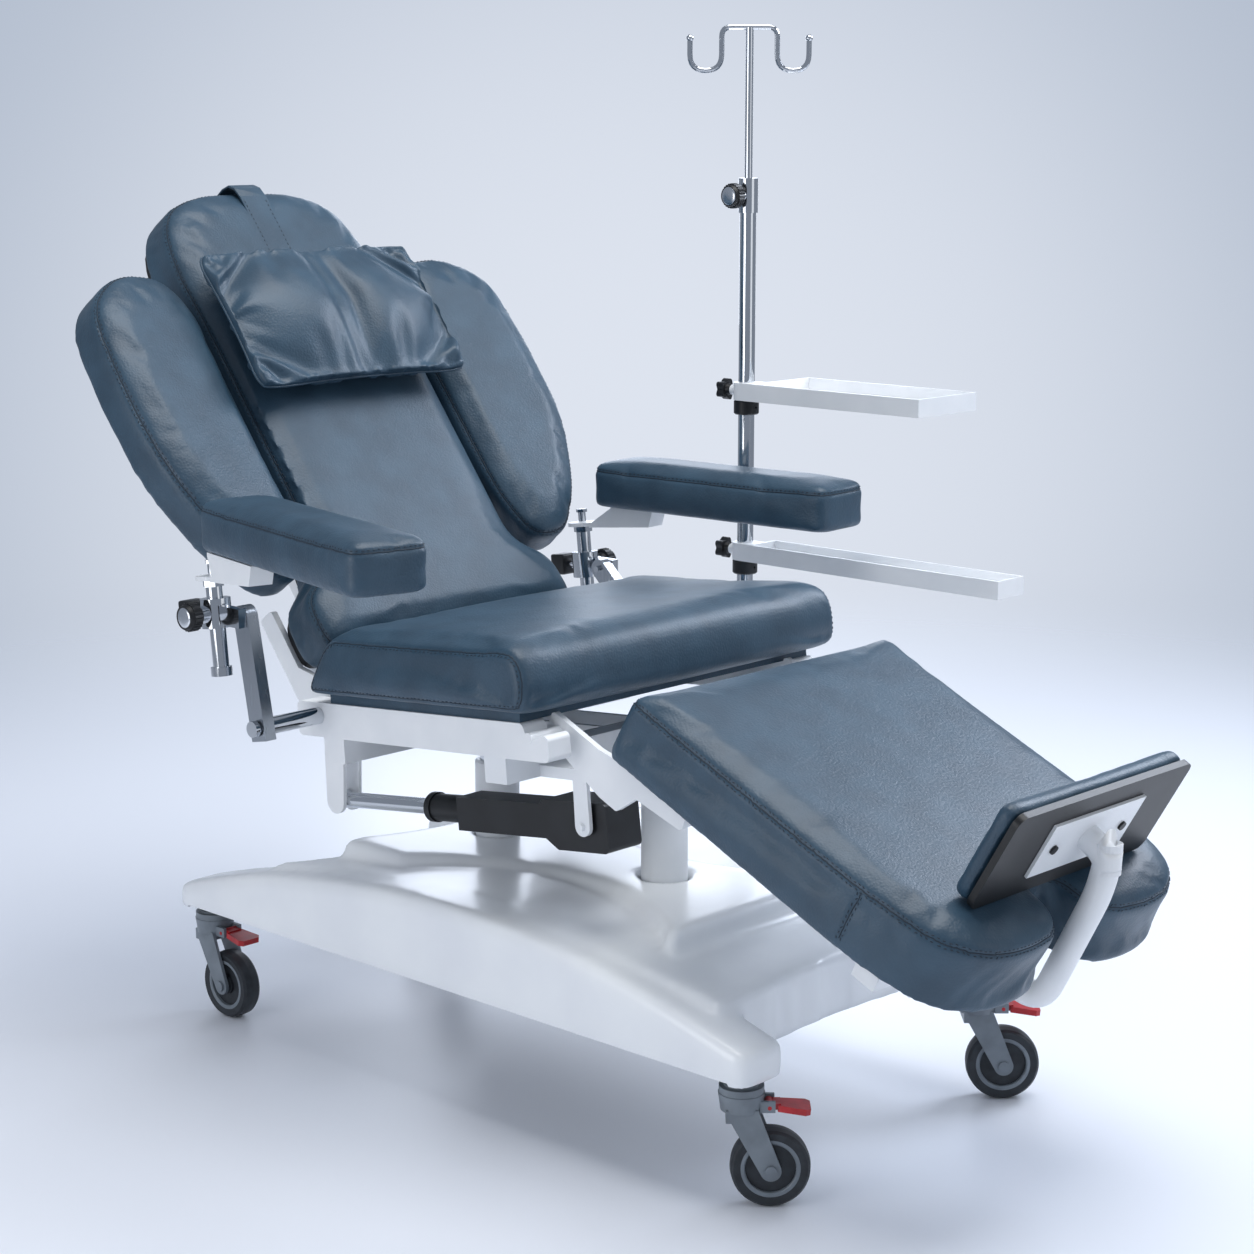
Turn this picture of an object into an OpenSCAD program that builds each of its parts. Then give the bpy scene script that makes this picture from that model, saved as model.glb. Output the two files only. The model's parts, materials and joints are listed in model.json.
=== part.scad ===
// Therapy chair: a powered couch on a moulded base with four swivel casters.
// The patient faces -Y, the patient's left hand is at +X, and the floor is z = 0.

/* [Frame] */
// Shift that brings the middle of the whole chair to x = 0
centre_x = 56.6; // [0:0.1:120]
// Shift that brings the middle of the whole chair to y = 0
centre_y = -48.41; // [-200:0.01:0]

/* [Casters] */
// Distance between the left and right caster stems
track = 490; // [440:5:560]
// Distance between the front and rear caster stems
wheelbase = 1034; // [960:2:1100]
// Diameter of a caster wheel
wheel_d = 100; // [80:1:120]
// Width of a caster wheel
wheel_w = 30; // [24:1:36]
// Distance from the stem back to the axle
trail = 36; // [28:1:44]
// Diameter of a wheel axle
axle_d = 8; // [6:0.5:10]
// Diameter of a caster stem
stem_d = 11; // [10:0.5:14]
// Diameter of the swivel head
head_d = 58; // [50:1:64]
// Thickness of a fork arm
fork_t = 5; // [4:0.5:7]

/* [Base] */
// Height of the lower edge of the cover above the floor
cover_low = 163; // [160:1:175]
// Height of the crown of the cover
cover_crown = 289; // [275:1:300]
// Overall length of the cover
cover_len = 1112; // [1100:2:1160]
// Width of each side beam of the cover
beam_w = 88; // [80:1:100]
// Rounding of the beam edges
beam_r = 16; // [8:1:22]
// Wall of the cover
cover_wall = 4; // [3:0.5:5]
// Height of the raised plateau on the cover
plateau_h = 12; // [6:1:16]
// Height of the chassis tubes
chassis_h = 30; // [24:1:34]
// Width of the chassis tubes
chassis_w = 50; // [40:1:56]

/* [Columns] */
// Outer diameter of a lift column
column_d = 64; // [60:1:70]
// Diameter of a column ram
ram_d = 50; // [44:1:54]
// Place of the rear column along Y
column_rear_y = 163; // [155:1:175]
// Place of the front column along Y
column_front_y = -165; // [-175:1:-155]
// Height of the top of the rear column tube
column_rear_top = 404; // [396:1:408]
// Height of the top of the front column tube
column_front_top = 422; // [414:1:424]
// Height of the bottom of both column tubes
column_low = 96; // [80:1:110]
// Height of the tilt pivot on the rear ram
tilt_z = 440; // [436:1:444]
// Diameter of the tilt pins
tilt_pin_d = 16; // [12:1:18]

/* [Seat frame] */
// Tilt of the seat, front up
seat_tilt = 5; // [3:0.5:7]
// Height of the underside of the rails where y is 0
seat_z = 497; // [494:1:500]
// Distance between the outer faces of the rails
rail_span = 580; // [560:2:600]
// Width of a rail
rail_w = 40; // [34:1:44]
// Height of a rail
rail_h = 48; // [46:1:52]
// Rear end of the rails along the seat
rail_rear = 256; // [248:1:262]
// Front end of the rails along the seat
rail_front = -234; // [-240:1:-228]
// Diameter of the lateral back axle
back_axle_d = 24; // [20:1:26]
// Place of the back axle along the seat
hinge_v = 212; // [208:1:216]
// Height of the back axle above the underside of the rails
hinge_w = 30; // [28:1:32]
// Place of the leg pivot along the seat
leg_v = -200; // [-204:1:-196]
// Height of the leg pivot above the underside of the rails
leg_w = 30; // [28:1:32]
// Diameter of the leg pivot pins
leg_pin_d = 14; // [10:1:16]
// Height of the cross tubes
cross_h = 36; // [32:1:38]
// Width of the cross tubes
cross_w = 40; // [34:1:44]
// Place of the rear cross tube along the seat
cross_rear_v = 190; // [184:1:192]
// Place of the front cross tube along the seat
cross_front_v = -128; // [-132:1:-124]

/* [Seat] */
// Width of the seat cushion
seat_w = 640; // [600:2:660]
// Thickness of the seat cushion
seat_h = 90; // [80:1:96]
// Thickness of the seat board
board_t = 12; // [10:1:14]
// Rear end of the seat board
board_rear = 188; // [180:1:190]
// Front end of the seat board
board_front = -182; // [-184:1:-170]
// Rear end of the seat cushion at its underside
seat_rear = 217; // [212:1:218]
// Front end of the seat cushion
seat_front = -222; // [-230:1:-214]

/* [Backrest] */
// Angle of the backrest above level
back_angle = 52; // [46:1:56]
// Front face of the back cushion ahead of the back axle
back_front = 41; // [39:0.5:43]
// Thickness of the back cushion
back_t = 78; // [70:1:82]
// Half width of the back cushion at its foot
back_foot_w = 250; // [240:1:260]
// Half width of the back cushion between the wings
back_mid_w = 190; // [180:1:200]
// Foot of the back cushion above the back axle
back_foot_s = 76; // [74:1:82]
// Top of the back cushion above the back axle
back_top_s = 862; // [820:2:880]
// Tilt of the side wings, outer edge forward
wing_tilt = 7; // [0:1:12]
// Length of a side wing
wing_len = 524; // [480:2:540]
// Width of a side wing
wing_w = 214; // [190:1:224]
// Thickness of a side wing
wing_t = 72; // [60:1:78]

/* [Pillow] */
// Width of the pillow
pillow_w = 400; // [340:2:420]
// Height of the pillow
pillow_h = 232; // [200:2:250]
// Thickness of the pillow
pillow_t = 88; // [70:1:100]
// Middle of the pillow above the back axle
pillow_s = 584; // [560:2:600]
// Width of the pillow strap
strap_w = 50; // [40:1:60]
// Thickness of the pillow strap
strap_t = 3; // [2:0.5:4]

/* [Legrest] */
// Angle of the leg pad below level
leg_angle = 24.5; // [20:0.5:28]
// Thickness of the leg pad
leg_t = 98; // [88:1:104]
// Underside of the leg pad above the leg pivot
leg_under = 30; // [29:0.5:31]
// Rear end of the leg pad ahead of the leg pivot
leg_rear = 94; // [90:1:98]
// Length of the leg pad
leg_len = 585; // [560:1:600]
// Half width of the leg pad
leg_half = 264; // [250:1:275]
// Width of the notch between the toes
notch_w = 58; // [50:1:66]
// Depth of the notch between the toes
notch_len = 96; // [90:1:110]

/* [Footrest] */
// Width of the foot pad
foot_w = 370; // [340:2:390]
// Height of the foot pad
foot_h = 146; // [130:1:156]
// Thickness of the foot pad
foot_t = 26; // [20:1:30]
// Lean of the foot pad from upright
foot_lean = 30; // [26:1:34]
// Diameter of the foot stem tube
stem_tube_d = 34; // [28:1:36]

/* [Armrests] */
// Distance between the two armrest posts
post_span = 800; // [790:2:812]
// Distance between the two pivots of an arm bar
arm_len = 152; // [146:1:158]
// Lean of the right arm bar to the rear
arm_lean_right = 11; // [5:1:15]
// Lean of the left arm bar to the rear
arm_lean_left = 46; // [42:1:50]
// Distance from the upper arm pivot back to the post
post_back = 48; // [46:1:52]
// Diameter of an armrest post
post_d = 22; // [20:0.5:24]
// Length of an armrest post
post_len = 158; // [150:1:166]
// Lean of the posts to the rear
post_lean = 6; // [3:0.5:8]
// Top of the right post above its clamp
post_up_right = 72; // [68:1:78]
// Top of the left post above its clamp
post_up_left = 88; // [84:1:94]
// Length of an arm pad
pad_len = 448; // [420:2:460]
// Width of an arm pad
pad_w = 118; // [108:1:126]
// Thickness of an arm pad
pad_t = 70; // [60:1:76]
// Distance from the right post forward to its pad
pad_ahead_right = 12; // [4:1:30]
// Distance from the left post forward to its pad
pad_ahead_left = 62; // [56:1:80]
// Outward swing of the right pad
pad_yaw_right = 13; // [8:0.5:16]
// Outward swing of the left pad
pad_yaw_left = 4; // [2:0.5:6]

/* [Infusion pole] */
// Place of the pole across the chair
pole_x = 520; // [515:1:535]
// Place of the pole along the chair
pole_y = 140; // [130:1:150]
// Diameter of the lower pole
pole_d = 25; // [24:0.5:28]
// Height of the top of the lower pole
pole_top = 1222; // [1180:2:1240]
// Height of the foot of the lower pole
pole_low = 470; // [460:1:480]
// Diameter of the sliding rod
rod_d = 12; // [10:0.5:14]
// Height of the hooks
hook_z = 1446; // [1400:2:1480]
// Width across the two hooks
hook_w = 180; // [160:2:200]
// Turn of the hooks
hook_yaw = -45; // [-90:5:90]
// Diameter of a hook wire
hook_d = 8; // [6:0.5:9]
// Length of the upper tray
upper_len = 322; // [300:2:340]
// Width of the upper tray
upper_w = 142; // [120:2:160]
// Height of the rim of the upper tray
upper_z = 911; // [880:1:940]
// Length of the lower tray
lower_len = 470; // [440:2:480]
// Width of the lower tray
lower_w = 64; // [56:1:72]
// Height of the rim of the lower tray
lower_z = 661; // [650:1:670]
// Depth of both trays
tray_h = 27; // [20:1:32]
// Wall of both trays
tray_wall = 3; // [2:0.5:4]

/* [Drives] */
// Place of the back drive across the chair
back_drive_x = -183; // [-186:1:-180]
// Place of the leg drive across the chair
leg_drive_x = 110; // [104:1:120]
// Diameter of a drive rod
drive_rod_d = 22; // [18:1:24]
// Diameter of a drive pin
drive_pin_d = 10; // [8:0.5:12]
// Width of a drive housing
drive_w = 62; // [56:1:64]

/* [Hidden] */
$fn = 48;

// Clearances
run = 0.05;   // between a shaft and its own bore
gap = 0.3;    // between faces that pass or face each other
wide = 2;     // round a column or stem that passes a hole in a cover

// Colours
white_paint = "whitesmoke";
white_plastic = [0.90, 0.92, 0.93];
hide = [0.24, 0.32, 0.40];
steel_chrome = [0.72, 0.73, 0.75];
black_plastic = [0.09, 0.09, 0.10];
grey_plastic = [0.44, 0.47, 0.50];
tyre_grey = [0.20, 0.22, 0.24];
pedal_red = [0.72, 0.12, 0.14];

// Points that several pieces share, all on the plane x = 0 and in the chair's frame
function seat_point(v, w) = [
  v * cos(seat_tilt) + w * sin(seat_tilt),
  seat_z - v * sin(seat_tilt) + w * cos(seat_tilt)
];
function seat_v(y, z) = y * cos(seat_tilt) - (z - seat_z) * sin(seat_tilt);
function seat_w_of(y, z) = y * sin(seat_tilt) + (z - seat_z) * cos(seat_tilt);
hinge = seat_point(hinge_v, hinge_w);
leg_pivot = seat_point(leg_v, leg_w);
tilt_v = seat_v(column_rear_y, tilt_z);
tilt_w = seat_w_of(column_rear_y, tilt_z);
front_head_v = (column_front_y - tilt_w * sin(seat_tilt)) / cos(seat_tilt);
front_head_z = seat_point(front_head_v, tilt_w)[1];

// The whole chair, moved so that the middle of its box stands over the origin
module in_frame() translate([-centre_x, -centre_y, 0]) children();
// Seat frame: y along the seat to the rear, z up from the underside of the rails
module on_seat() in_frame() translate([0, 0, seat_z]) rotate([-seat_tilt, 0, 0]) children();
// Backrest: y up along the back from the axle, z out of its front face
module on_back() in_frame() translate([0, hinge[0], hinge[1]]) rotate([back_angle, 0, 0]) children();
// Legrest: y up the slope to the rear from the leg pivot, z out of its upper face
module on_leg() in_frame() translate([0, leg_pivot[0], leg_pivot[1]]) rotate([leg_angle, 0, 0]) children();

// A bar along X through the given y and z, from x = a to x = b
module across(d, a, b, y = 0, z = 0) translate([a, y, z]) rotate([0, 90, 0]) cylinder(d = d, h = b - a);
// A box given by its two corners
module block(a, b) translate(a) cube(b - a);

// Outlines: each corner is [x, y, cut], and its cut is rounded with n steps
function corner_points(p, c, q, n) =
  c[2] <= 0 ? [[c[0], c[1]]] :
  let (m = [c[0], c[1]], a = [p[0], p[1]] - m, b = [q[0], q[1]] - m,
       s = m + a / norm(a) * c[2], e = m + b / norm(b) * c[2])
  [for (i = [0:n]) let (t = i / n) (1 - t) * (1 - t) * s + 2 * t * (1 - t) * m + t * t * e];
function rounded(path, n = 5) = [
  for (i = [0:len(path) - 1])
    each corner_points(path[(i + len(path) - 1) % len(path)], path[i], path[(i + 1) % len(path)], n)
];
// Moves every side of a counter-clockwise outline inwards by d and shortens its cuts to suit
function inset(path, d) = [
  for (i = [0:len(path) - 1])
    let (c = path[i], p = path[(i + len(path) - 1) % len(path)], q = path[(i + 1) % len(path)],
         a = [c[0] - p[0], c[1] - p[1]], b = [q[0] - c[0], q[1] - c[1]],
         u = a / norm(a), v = b / norm(b), m = [-u[1] - v[1], u[0] + v[0]] / (1 + u * v),
         bend = atan2(u[0] * v[1] - u[1] * v[0], u * v))
    [c[0] + d * m[0], c[1] + d * m[1], max(1, c[2] - d * tan(bend / 2))]
];
// A closed skin over layers of [inset, height], from the lowest layer to the highest
module skin(path, layers, steps = 4) {
  rings = [for (l = layers) [for (p = rounded(inset(path, l[0]), steps)) [p[0], p[1], l[1]]]];
  n = len(rings[0]);
  sides = [
    for (k = [0:len(layers) - 2]) for (i = [0:n - 1]) let (j = (i + 1) % n)
      each [[k * n + i, (k + 1) * n + i, k * n + j], [k * n + j, (k + 1) * n + i, (k + 1) * n + j]]
  ];
  low_cap = [[for (i = [0:n - 1]) i]];
  high_cap = [[for (i = [n - 1:-1:0]) (len(layers) - 1) * n + i]];
  polyhedron(points = [for (r = rings) each r], faces = concat(sides, low_cap, high_cap), convexity = 6);
}
// A padded block of thickness t on a flat underside: drawn-in foot, full side, rolled edge and crown
module cushion(path, t, roll, crown, steps = 4) skin(path, [
  [4, 0], [0.5, t * 0.14], [2, t * 0.4], [0, t - roll * 1.05], [roll * 0.14, t - roll * 0.55],
  [roll * 0.5, t - roll * 0.14], [roll * 0.95, t + crown * 0.4], [roll * 1.6, t + crown]
], steps);
function rect(x0, y0, x1, y1, r) = [[x0, y0, r], [x1, y0, r], [x1, y1, r], [x0, y1, r]];

// Casters
caster_top = 158;
module at_caster(sx, sy, yaw) in_frame() translate([sx * track / 2, sy * wheelbase / 2, 0]) rotate([0, 0, yaw])
  children();
yaw_front_right = -47;
yaw_front_left = -47;
yaw_rear_right = -90;
yaw_rear_left = 133;
head_low = caster_top - 34;
fork_in = wheel_w / 2 + 1.5;
pedal_z = head_low + 6;
pedal_x = head_d / 2 + 5;
pedal_pin_d = 5;

module caster_fork() color(grey_plastic) difference() {
  union() {
    translate([0, 0, head_low]) cylinder(d1 = head_d - 6, d2 = head_d, h = 22);
    translate([0, 0, head_low + 22]) cylinder(d = head_d - 2, h = 9);
    translate([0, 0, caster_top - 3]) cylinder(d = head_d - 14, h = 3);
    translate([0, 0, caster_top]) cylinder(d = stem_d, h = chassis_h + 10);
    for (s = [-1, 1]) hull() {
      translate([-head_d * 0.34, s > 0 ? fork_in : -fork_in - fork_t, head_low])
        cube([head_d * 0.68, fork_t, 4]);
      translate([trail, s > 0 ? fork_in : -fork_in - fork_t, wheel_d / 2]) rotate([-90, 0, 0])
        cylinder(r = 13, h = fork_t, $fn = 32);
    }
    translate([-head_d * 0.34, -fork_in - fork_t, head_low - 12]) cube([head_d * 0.5, 2 * (fork_in + fork_t), 13]);
    translate([trail, fork_in + fork_t + 3, wheel_d / 2]) rotate([90, 0, 0])
      cylinder(d = axle_d, h = 2 * (fork_in + fork_t + 3));
    for (s = [-1, 1]) translate([trail, s * (fork_in + fork_t + 1.5), wheel_d / 2]) rotate([90, 0, 0])
      cylinder(d = 15, h = 4, center = true);
    for (s = [-1, 1]) translate([pedal_x - 12, s * 14 - 2.5, pedal_z - 6]) cube([19, 5, 14]);
  }
  translate([trail, 0, wheel_d / 2]) rotate([90, 0, 0])
    difference() {
      cylinder(r = wheel_d / 2 + 3, h = wheel_w + 2, center = true);
      cylinder(d = axle_d, h = wheel_w + 4, center = true);
    }
  translate([pedal_x, 0, pedal_z]) rotate([90, 0, 0]) cylinder(d = pedal_pin_d + 2 * run, h = 60, center = true);
}

module caster_wheel() color(tyre_grey) translate([trail, 0, wheel_d / 2]) rotate([90, 0, 0]) difference() {
  union() {
    rotate_extrude($fn = 64) polygon([
      [wheel_d / 2 - 15, -wheel_w / 2 + 2], [wheel_d / 2 - 4, -wheel_w / 2], [wheel_d / 2 - 1, -wheel_w / 2 + 4],
      [wheel_d / 2, 0], [wheel_d / 2 - 1, wheel_w / 2 - 4], [wheel_d / 2 - 4, wheel_w / 2],
      [wheel_d / 2 - 15, wheel_w / 2 - 2]
    ]);
    difference() {
      cylinder(r = wheel_d / 2 - 14, h = wheel_w - 6, center = true);
      for (s = [-1, 1]) translate([0, 0, s * (wheel_w / 2 - 3)]) difference() {
        cylinder(r = wheel_d / 2 - 18, h = 8, center = true);
        cylinder(r = 14, h = 10, center = true);
      }
    }
    cylinder(r = 12, h = wheel_w, center = true);
  }
  cylinder(d = axle_d + 2 * run, h = wheel_w + 2, center = true);
}

module caster_pedal() color(pedal_red) {
  translate([pedal_x, 0, pedal_z]) rotate([90, 0, 0]) cylinder(d = 11, h = 22, center = true);
  translate([pedal_x, 0, pedal_z]) rotate([90, 0, 0]) cylinder(d = pedal_pin_d, h = 34, center = true);
  translate([pedal_x, -11, pedal_z - 4]) cube([14, 22, 8]);
  translate([pedal_x + 10, 0, pedal_z - 5.5]) rotate([0, 6, 0]) linear_extrude(8)
    polygon([[0, -14], [34, -19], [40, -14], [40, 14], [34, 19], [0, 14]]);
}

// Base
cover_y0 = -cover_len / 2;
cover_y1 = cover_len / 2 - 6;
crown_y = -20;
crown_r = 1850;
beam_x = track / 2 + 2;
front_wall_y = -478;
rear_wall_y = 256;
plateau_side_r = 367;
plateau_waist = 85;

module arch(y0, y1, low, high, r, round_r) offset(r = round_r) offset(delta = -round_r) intersection() {
  translate([crown_y, high - r]) circle(r = r, $fn = 220);
  translate([y0, low]) square([y1 - y0, high - low + 5]);
}
module side_slab(w, shrink, wall) rotate([90, 0, 90]) translate([0, 0, -w / 2]) linear_extrude(w)
  offset(delta = -shrink) difference() {
    arch(cover_y0 + wall, cover_y1 - wall, cover_low - 20, cover_crown - wall, crown_r, 14);
    translate([cover_y0 - 10, cover_low - 40]) square([cover_len + 20, 40 - shrink]);
  }
module beam(w, wall) hull() {
  side_slab(w - 2 * beam_r, 0, wall);
  side_slab(w - 0.6 * beam_r, beam_r * 0.18, wall);
  side_slab(w, beam_r, wall);
}
module centre_plan(wall) difference() {
  translate([-track / 2, front_wall_y + wall]) square([track, 378 - front_wall_y - 2 * wall]);
  translate([0, front_wall_y + wall - 1180]) circle(r = 1190, $fn = 160);
  translate([0, rear_wall_y - wall + 300]) circle(r = 300, $fn = 96);
}
module centre_body(wall) intersection() {
  translate([0, 0, cover_low]) linear_extrude(200) centre_plan(wall);
  rotate([90, 0, 90]) translate([0, 0, -track / 2]) linear_extrude(track)
    arch(front_wall_y - 60, 480, cover_low - 60, cover_crown - 1 - wall, 2500, 12);
}
module plateau_plan() difference() {
  translate([-190, -350]) square([380, 640]);
  for (s = [-1, 1]) translate([s * (plateau_waist + plateau_side_r), -87]) circle(r = plateau_side_r, $fn = 120);
  translate([0, rear_wall_y + 300]) circle(r = 306, $fn = 96);
}
module plateau() for (k = [[0, 0.45], [4, 0.8], [9, 1]]) translate([0, 0, cover_crown - 40])
  linear_extrude(36 + plateau_h * k[1]) offset(r = 8) offset(delta = -8 - k[0]) plateau_plan();

module base_cover() color(white_plastic) in_frame() difference() {
  union() {
    for (s = [-1, 1]) translate([s * beam_x, 0, 0]) beam(beam_w, 0);
    centre_body(0);
    plateau();
  }
  for (s = [-1, 1]) translate([s * beam_x, 0, -cover_wall]) beam(beam_w - 2 * cover_wall, cover_wall);
  translate([0, 0, -1]) centre_body(cover_wall);
  block([-track / 2 - 20, -330, cover_low - 1], [track / 2 + 20, 230, cover_low + chassis_h + 12]);
  for (y = [column_front_y, column_rear_y]) translate([0, y, cover_low]) cylinder(d = column_d + 2 * wide, h = 200);
}

chassis_low = cover_low + 3;
module base_frame() color("dimgray") in_frame() difference() {
  union() {
    for (s = [-1, 1]) block([s * track / 2 - chassis_w / 2, -wheelbase / 2 - 24, chassis_low],
      [s * track / 2 + chassis_w / 2, wheelbase / 2 + 13, chassis_low + chassis_h]);
    for (y = [column_front_y, column_rear_y])
      block([-track / 2, y - 46, chassis_low], [track / 2, y + 46, chassis_low + chassis_h]);
    for (sx = [-1, 1], sy = [-1, 1]) translate([sx * track / 2, sy * wheelbase / 2, caster_top + gap])
      cylinder(d = 34, h = chassis_low - caster_top);
  }
  for (sx = [-1, 1], sy = [-1, 1]) translate([sx * track / 2, sy * wheelbase / 2, caster_top - 1])
    cylinder(d = stem_d + 2 * run, h = chassis_h + 30);
  for (y = [column_front_y, column_rear_y]) translate([0, y, chassis_low - 1])
    cylinder(d = column_d + 2 * gap, h = chassis_h + 2);
}

module column_tube(y, top) translate([0, y, column_low]) difference() {
  union() {
    cylinder(d = column_d, h = top - column_low - 3);
    translate([0, 0, top - column_low - 3]) cylinder(d1 = column_d, d2 = column_d - 6, h = 3);
    translate([0, 0, chassis_low - column_low - 8]) cylinder(d = column_d + 26, h = 8);
  }
  translate([0, 0, 6]) cylinder(d = ram_d + 2 * run, h = top);
}
module column_tubes() color(white_paint) in_frame() {
  column_tube(column_rear_y, column_rear_top);
  column_tube(column_front_y, column_front_top);
}

bar_in = column_d / 2 + 3;
bar_t = 8;
head_t = 30;
module ram(low, head_z) {
  translate([0, 0, low]) cylinder(d = ram_d, h = head_z - head_t / 2 + 1 - low);
  translate([0, 0, head_z - head_t / 2]) intersection() {
    cylinder(d = ram_d, h = head_t);
    translate([-ram_d / 2, -head_t / 2, 0]) cube([ram_d, head_t, head_t]);
  }
}
pin_proud = 8;
module head_pin(head_z) across(tilt_pin_d, -bar_in - bar_t - pin_proud, bar_in + bar_t + pin_proud, 0, head_z);
module ram_rear() color(steel_chrome) in_frame() translate([0, column_rear_y, 0]) union() {
  ram(column_low + 10, tilt_z);
  head_pin(tilt_z);
}
module ram_front() color(steel_chrome) in_frame() translate([0, column_front_y, 0]) union() {
  ram(column_low + 40, front_head_z);
  head_pin(front_head_z);
}

// Seat frame
rail_out = rail_span / 2;
rail_in = rail_out - rail_w;
module rail_profile() offset(r = 8) offset(delta = -8) difference() {
  translate([rail_front, 0]) square([rail_rear - rail_front, rail_h]);
  translate([rail_front - 20, rail_h]) rotate(-24) square([60, 30]);
}
module rail(s) difference() {
  translate([s > 0 ? rail_in : -rail_out, 0, 0]) rotate([90, 0, 90]) linear_extrude(rail_w) rail_profile();
  across(back_axle_d + 2 * run, -400, 400, hinge_v, hinge_w);
  across(leg_pin_d + 2 * run, -400, 400, leg_v, leg_w);
}
socket_v = pole_y / cos(seat_tilt);
module rail_right() color(white_paint) on_seat() rail(-1);
module rail_left() color(white_paint) difference() {
  union() {
    on_seat() rail(1);
    on_seat() translate([0, socket_v - 17, 4]) cube([pole_x, 34, 34]);
    in_frame() translate([pole_x, pole_y, pole_low + 6]) cylinder(d = pole_d + 16, h = 78);
  }
  on_seat() block([-10, -400, -60], [rail_in, 400, 100]);
  on_seat() across(back_axle_d + 2 * run, 0, 300, hinge_v, hinge_w);
  in_frame() translate([pole_x, pole_y, pole_low]) cylinder(d = pole_d + 2 * run, h = 120);
}

cross_end = rail_in - 6;
bar_low = tilt_w - 16;
hanger_in = drive_w / 2 + 4;
hanger_t = 6;
back_pin_v = -219;
back_pin_w = -96;
leg_pin_v = 150;
leg_pin_w = -76;
back_pin = seat_point(back_pin_v, back_pin_w);
leg_pin = seat_point(leg_pin_v, leg_pin_w);
slot_play = 1.2;
head_room = 22.5; // free height over a ram head as it turns
module subframe() color(white_paint) on_seat() difference() {
  union() {
    for (v = [cross_rear_v, cross_front_v])
      block([-rail_out + 6, v - cross_w / 2, -cross_h], [rail_out - 6, v + cross_w / 2, 0]);
    for (s = [-1, 1]) block([s > 0 ? bar_in : -bar_in - bar_t, cross_front_v - 80, bar_low],
      [s > 0 ? bar_in + bar_t : -bar_in, cross_rear_v + cross_w / 2, -6]);
    block([back_drive_x - hanger_in - hanger_t, cross_front_v - 118, -cross_h],
      [back_drive_x + hanger_in + hanger_t, cross_front_v, -cross_h + 15]);
    for (s = [-1, 1]) translate([back_drive_x + s * (hanger_in + hanger_t / 2) - hanger_t / 2, 0, 0]) hull() {
      translate([0, back_pin_v - 12, -cross_h]) cube([hanger_t, 24, 6]);
      across(26, 0, hanger_t, back_pin_v, back_pin_w, $fn = 32);
    }
    for (s = [-1, 1]) translate([leg_drive_x + s * (hanger_in + hanger_t / 2) - hanger_t / 2, 0, 0]) hull() {
      translate([0, cross_rear_v - cross_w / 2, -cross_h]) cube([hanger_t, cross_w, 6]);
      across(26, 0, hanger_t, leg_pin_v, leg_pin_w, $fn = 32);
    }
    across(drive_pin_d, back_drive_x - hanger_in - hanger_t - 5, back_drive_x + hanger_in + hanger_t + 3,
      back_pin_v, back_pin_w);
    across(drive_pin_d, leg_drive_x - hanger_in - hanger_t - 3, leg_drive_x + hanger_in + hanger_t + 3,
      leg_pin_v, leg_pin_w);
  }
  for (v = [tilt_v, front_head_v]) block([-bar_in, v - 42, tilt_w - 30], [bar_in, v + 28, tilt_w + head_room]);
  across(tilt_pin_d + 2 * run, -60, 60, tilt_v, tilt_w);
  hull() for (d = [-18, 6]) across(tilt_pin_d + 2 * slot_play, -60, 60, front_head_v + d, tilt_w, $fn = 32);
}

arm_x = post_span / 2 - 12;
arm_bar_w = 18;
axle_neck_d = 14;
axle_end = arm_x + arm_bar_w / 2 + 4;
module back_axle() color(steel_chrome) on_seat() union() {
  across(back_axle_d, -arm_x + arm_bar_w / 2 + gap, arm_x - arm_bar_w / 2 - gap, hinge_v, hinge_w);
  across(axle_neck_d, -axle_end, axle_end, hinge_v, hinge_w);
  for (s = [-1, 1]) translate([s * (axle_end + 2), hinge_v, hinge_w]) rotate([0, 90, 0])
    cylinder(d = 22, h = 7, center = true);
}

seat_under = rail_h + board_t;
module seat_board() color("dimgray") on_seat() block([-rail_out + 4, board_front, rail_h],
  [rail_out - 4, board_rear, seat_under]);
module seat_cushion() color(hide) on_seat() difference() {
  translate([0, 0, seat_under]) rotate([90, 0, 90]) skin([
    [seat_rear, 0, 14], [seat_rear - 50, seat_h, 32], [seat_front, seat_h + 2, 40],
    [seat_front - 8, seat_h * 0.3, 18], [seat_front + 8, 0, 10]
  ], [
    [20, -seat_w / 2], [8, -seat_w / 2 + 4], [2, -seat_w / 2 + 14], [0, -seat_w / 2 + 40], [-3, -seat_w / 5],
    [-3.5, 0], [-3, seat_w / 5], [0, seat_w / 2 - 40], [2, seat_w / 2 - 14], [8, seat_w / 2 - 4],
    [20, seat_w / 2]
  ], 6);
  block([-seat_w, -seat_w, 0], [seat_w, seat_w, seat_under + gap]);
}

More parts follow.
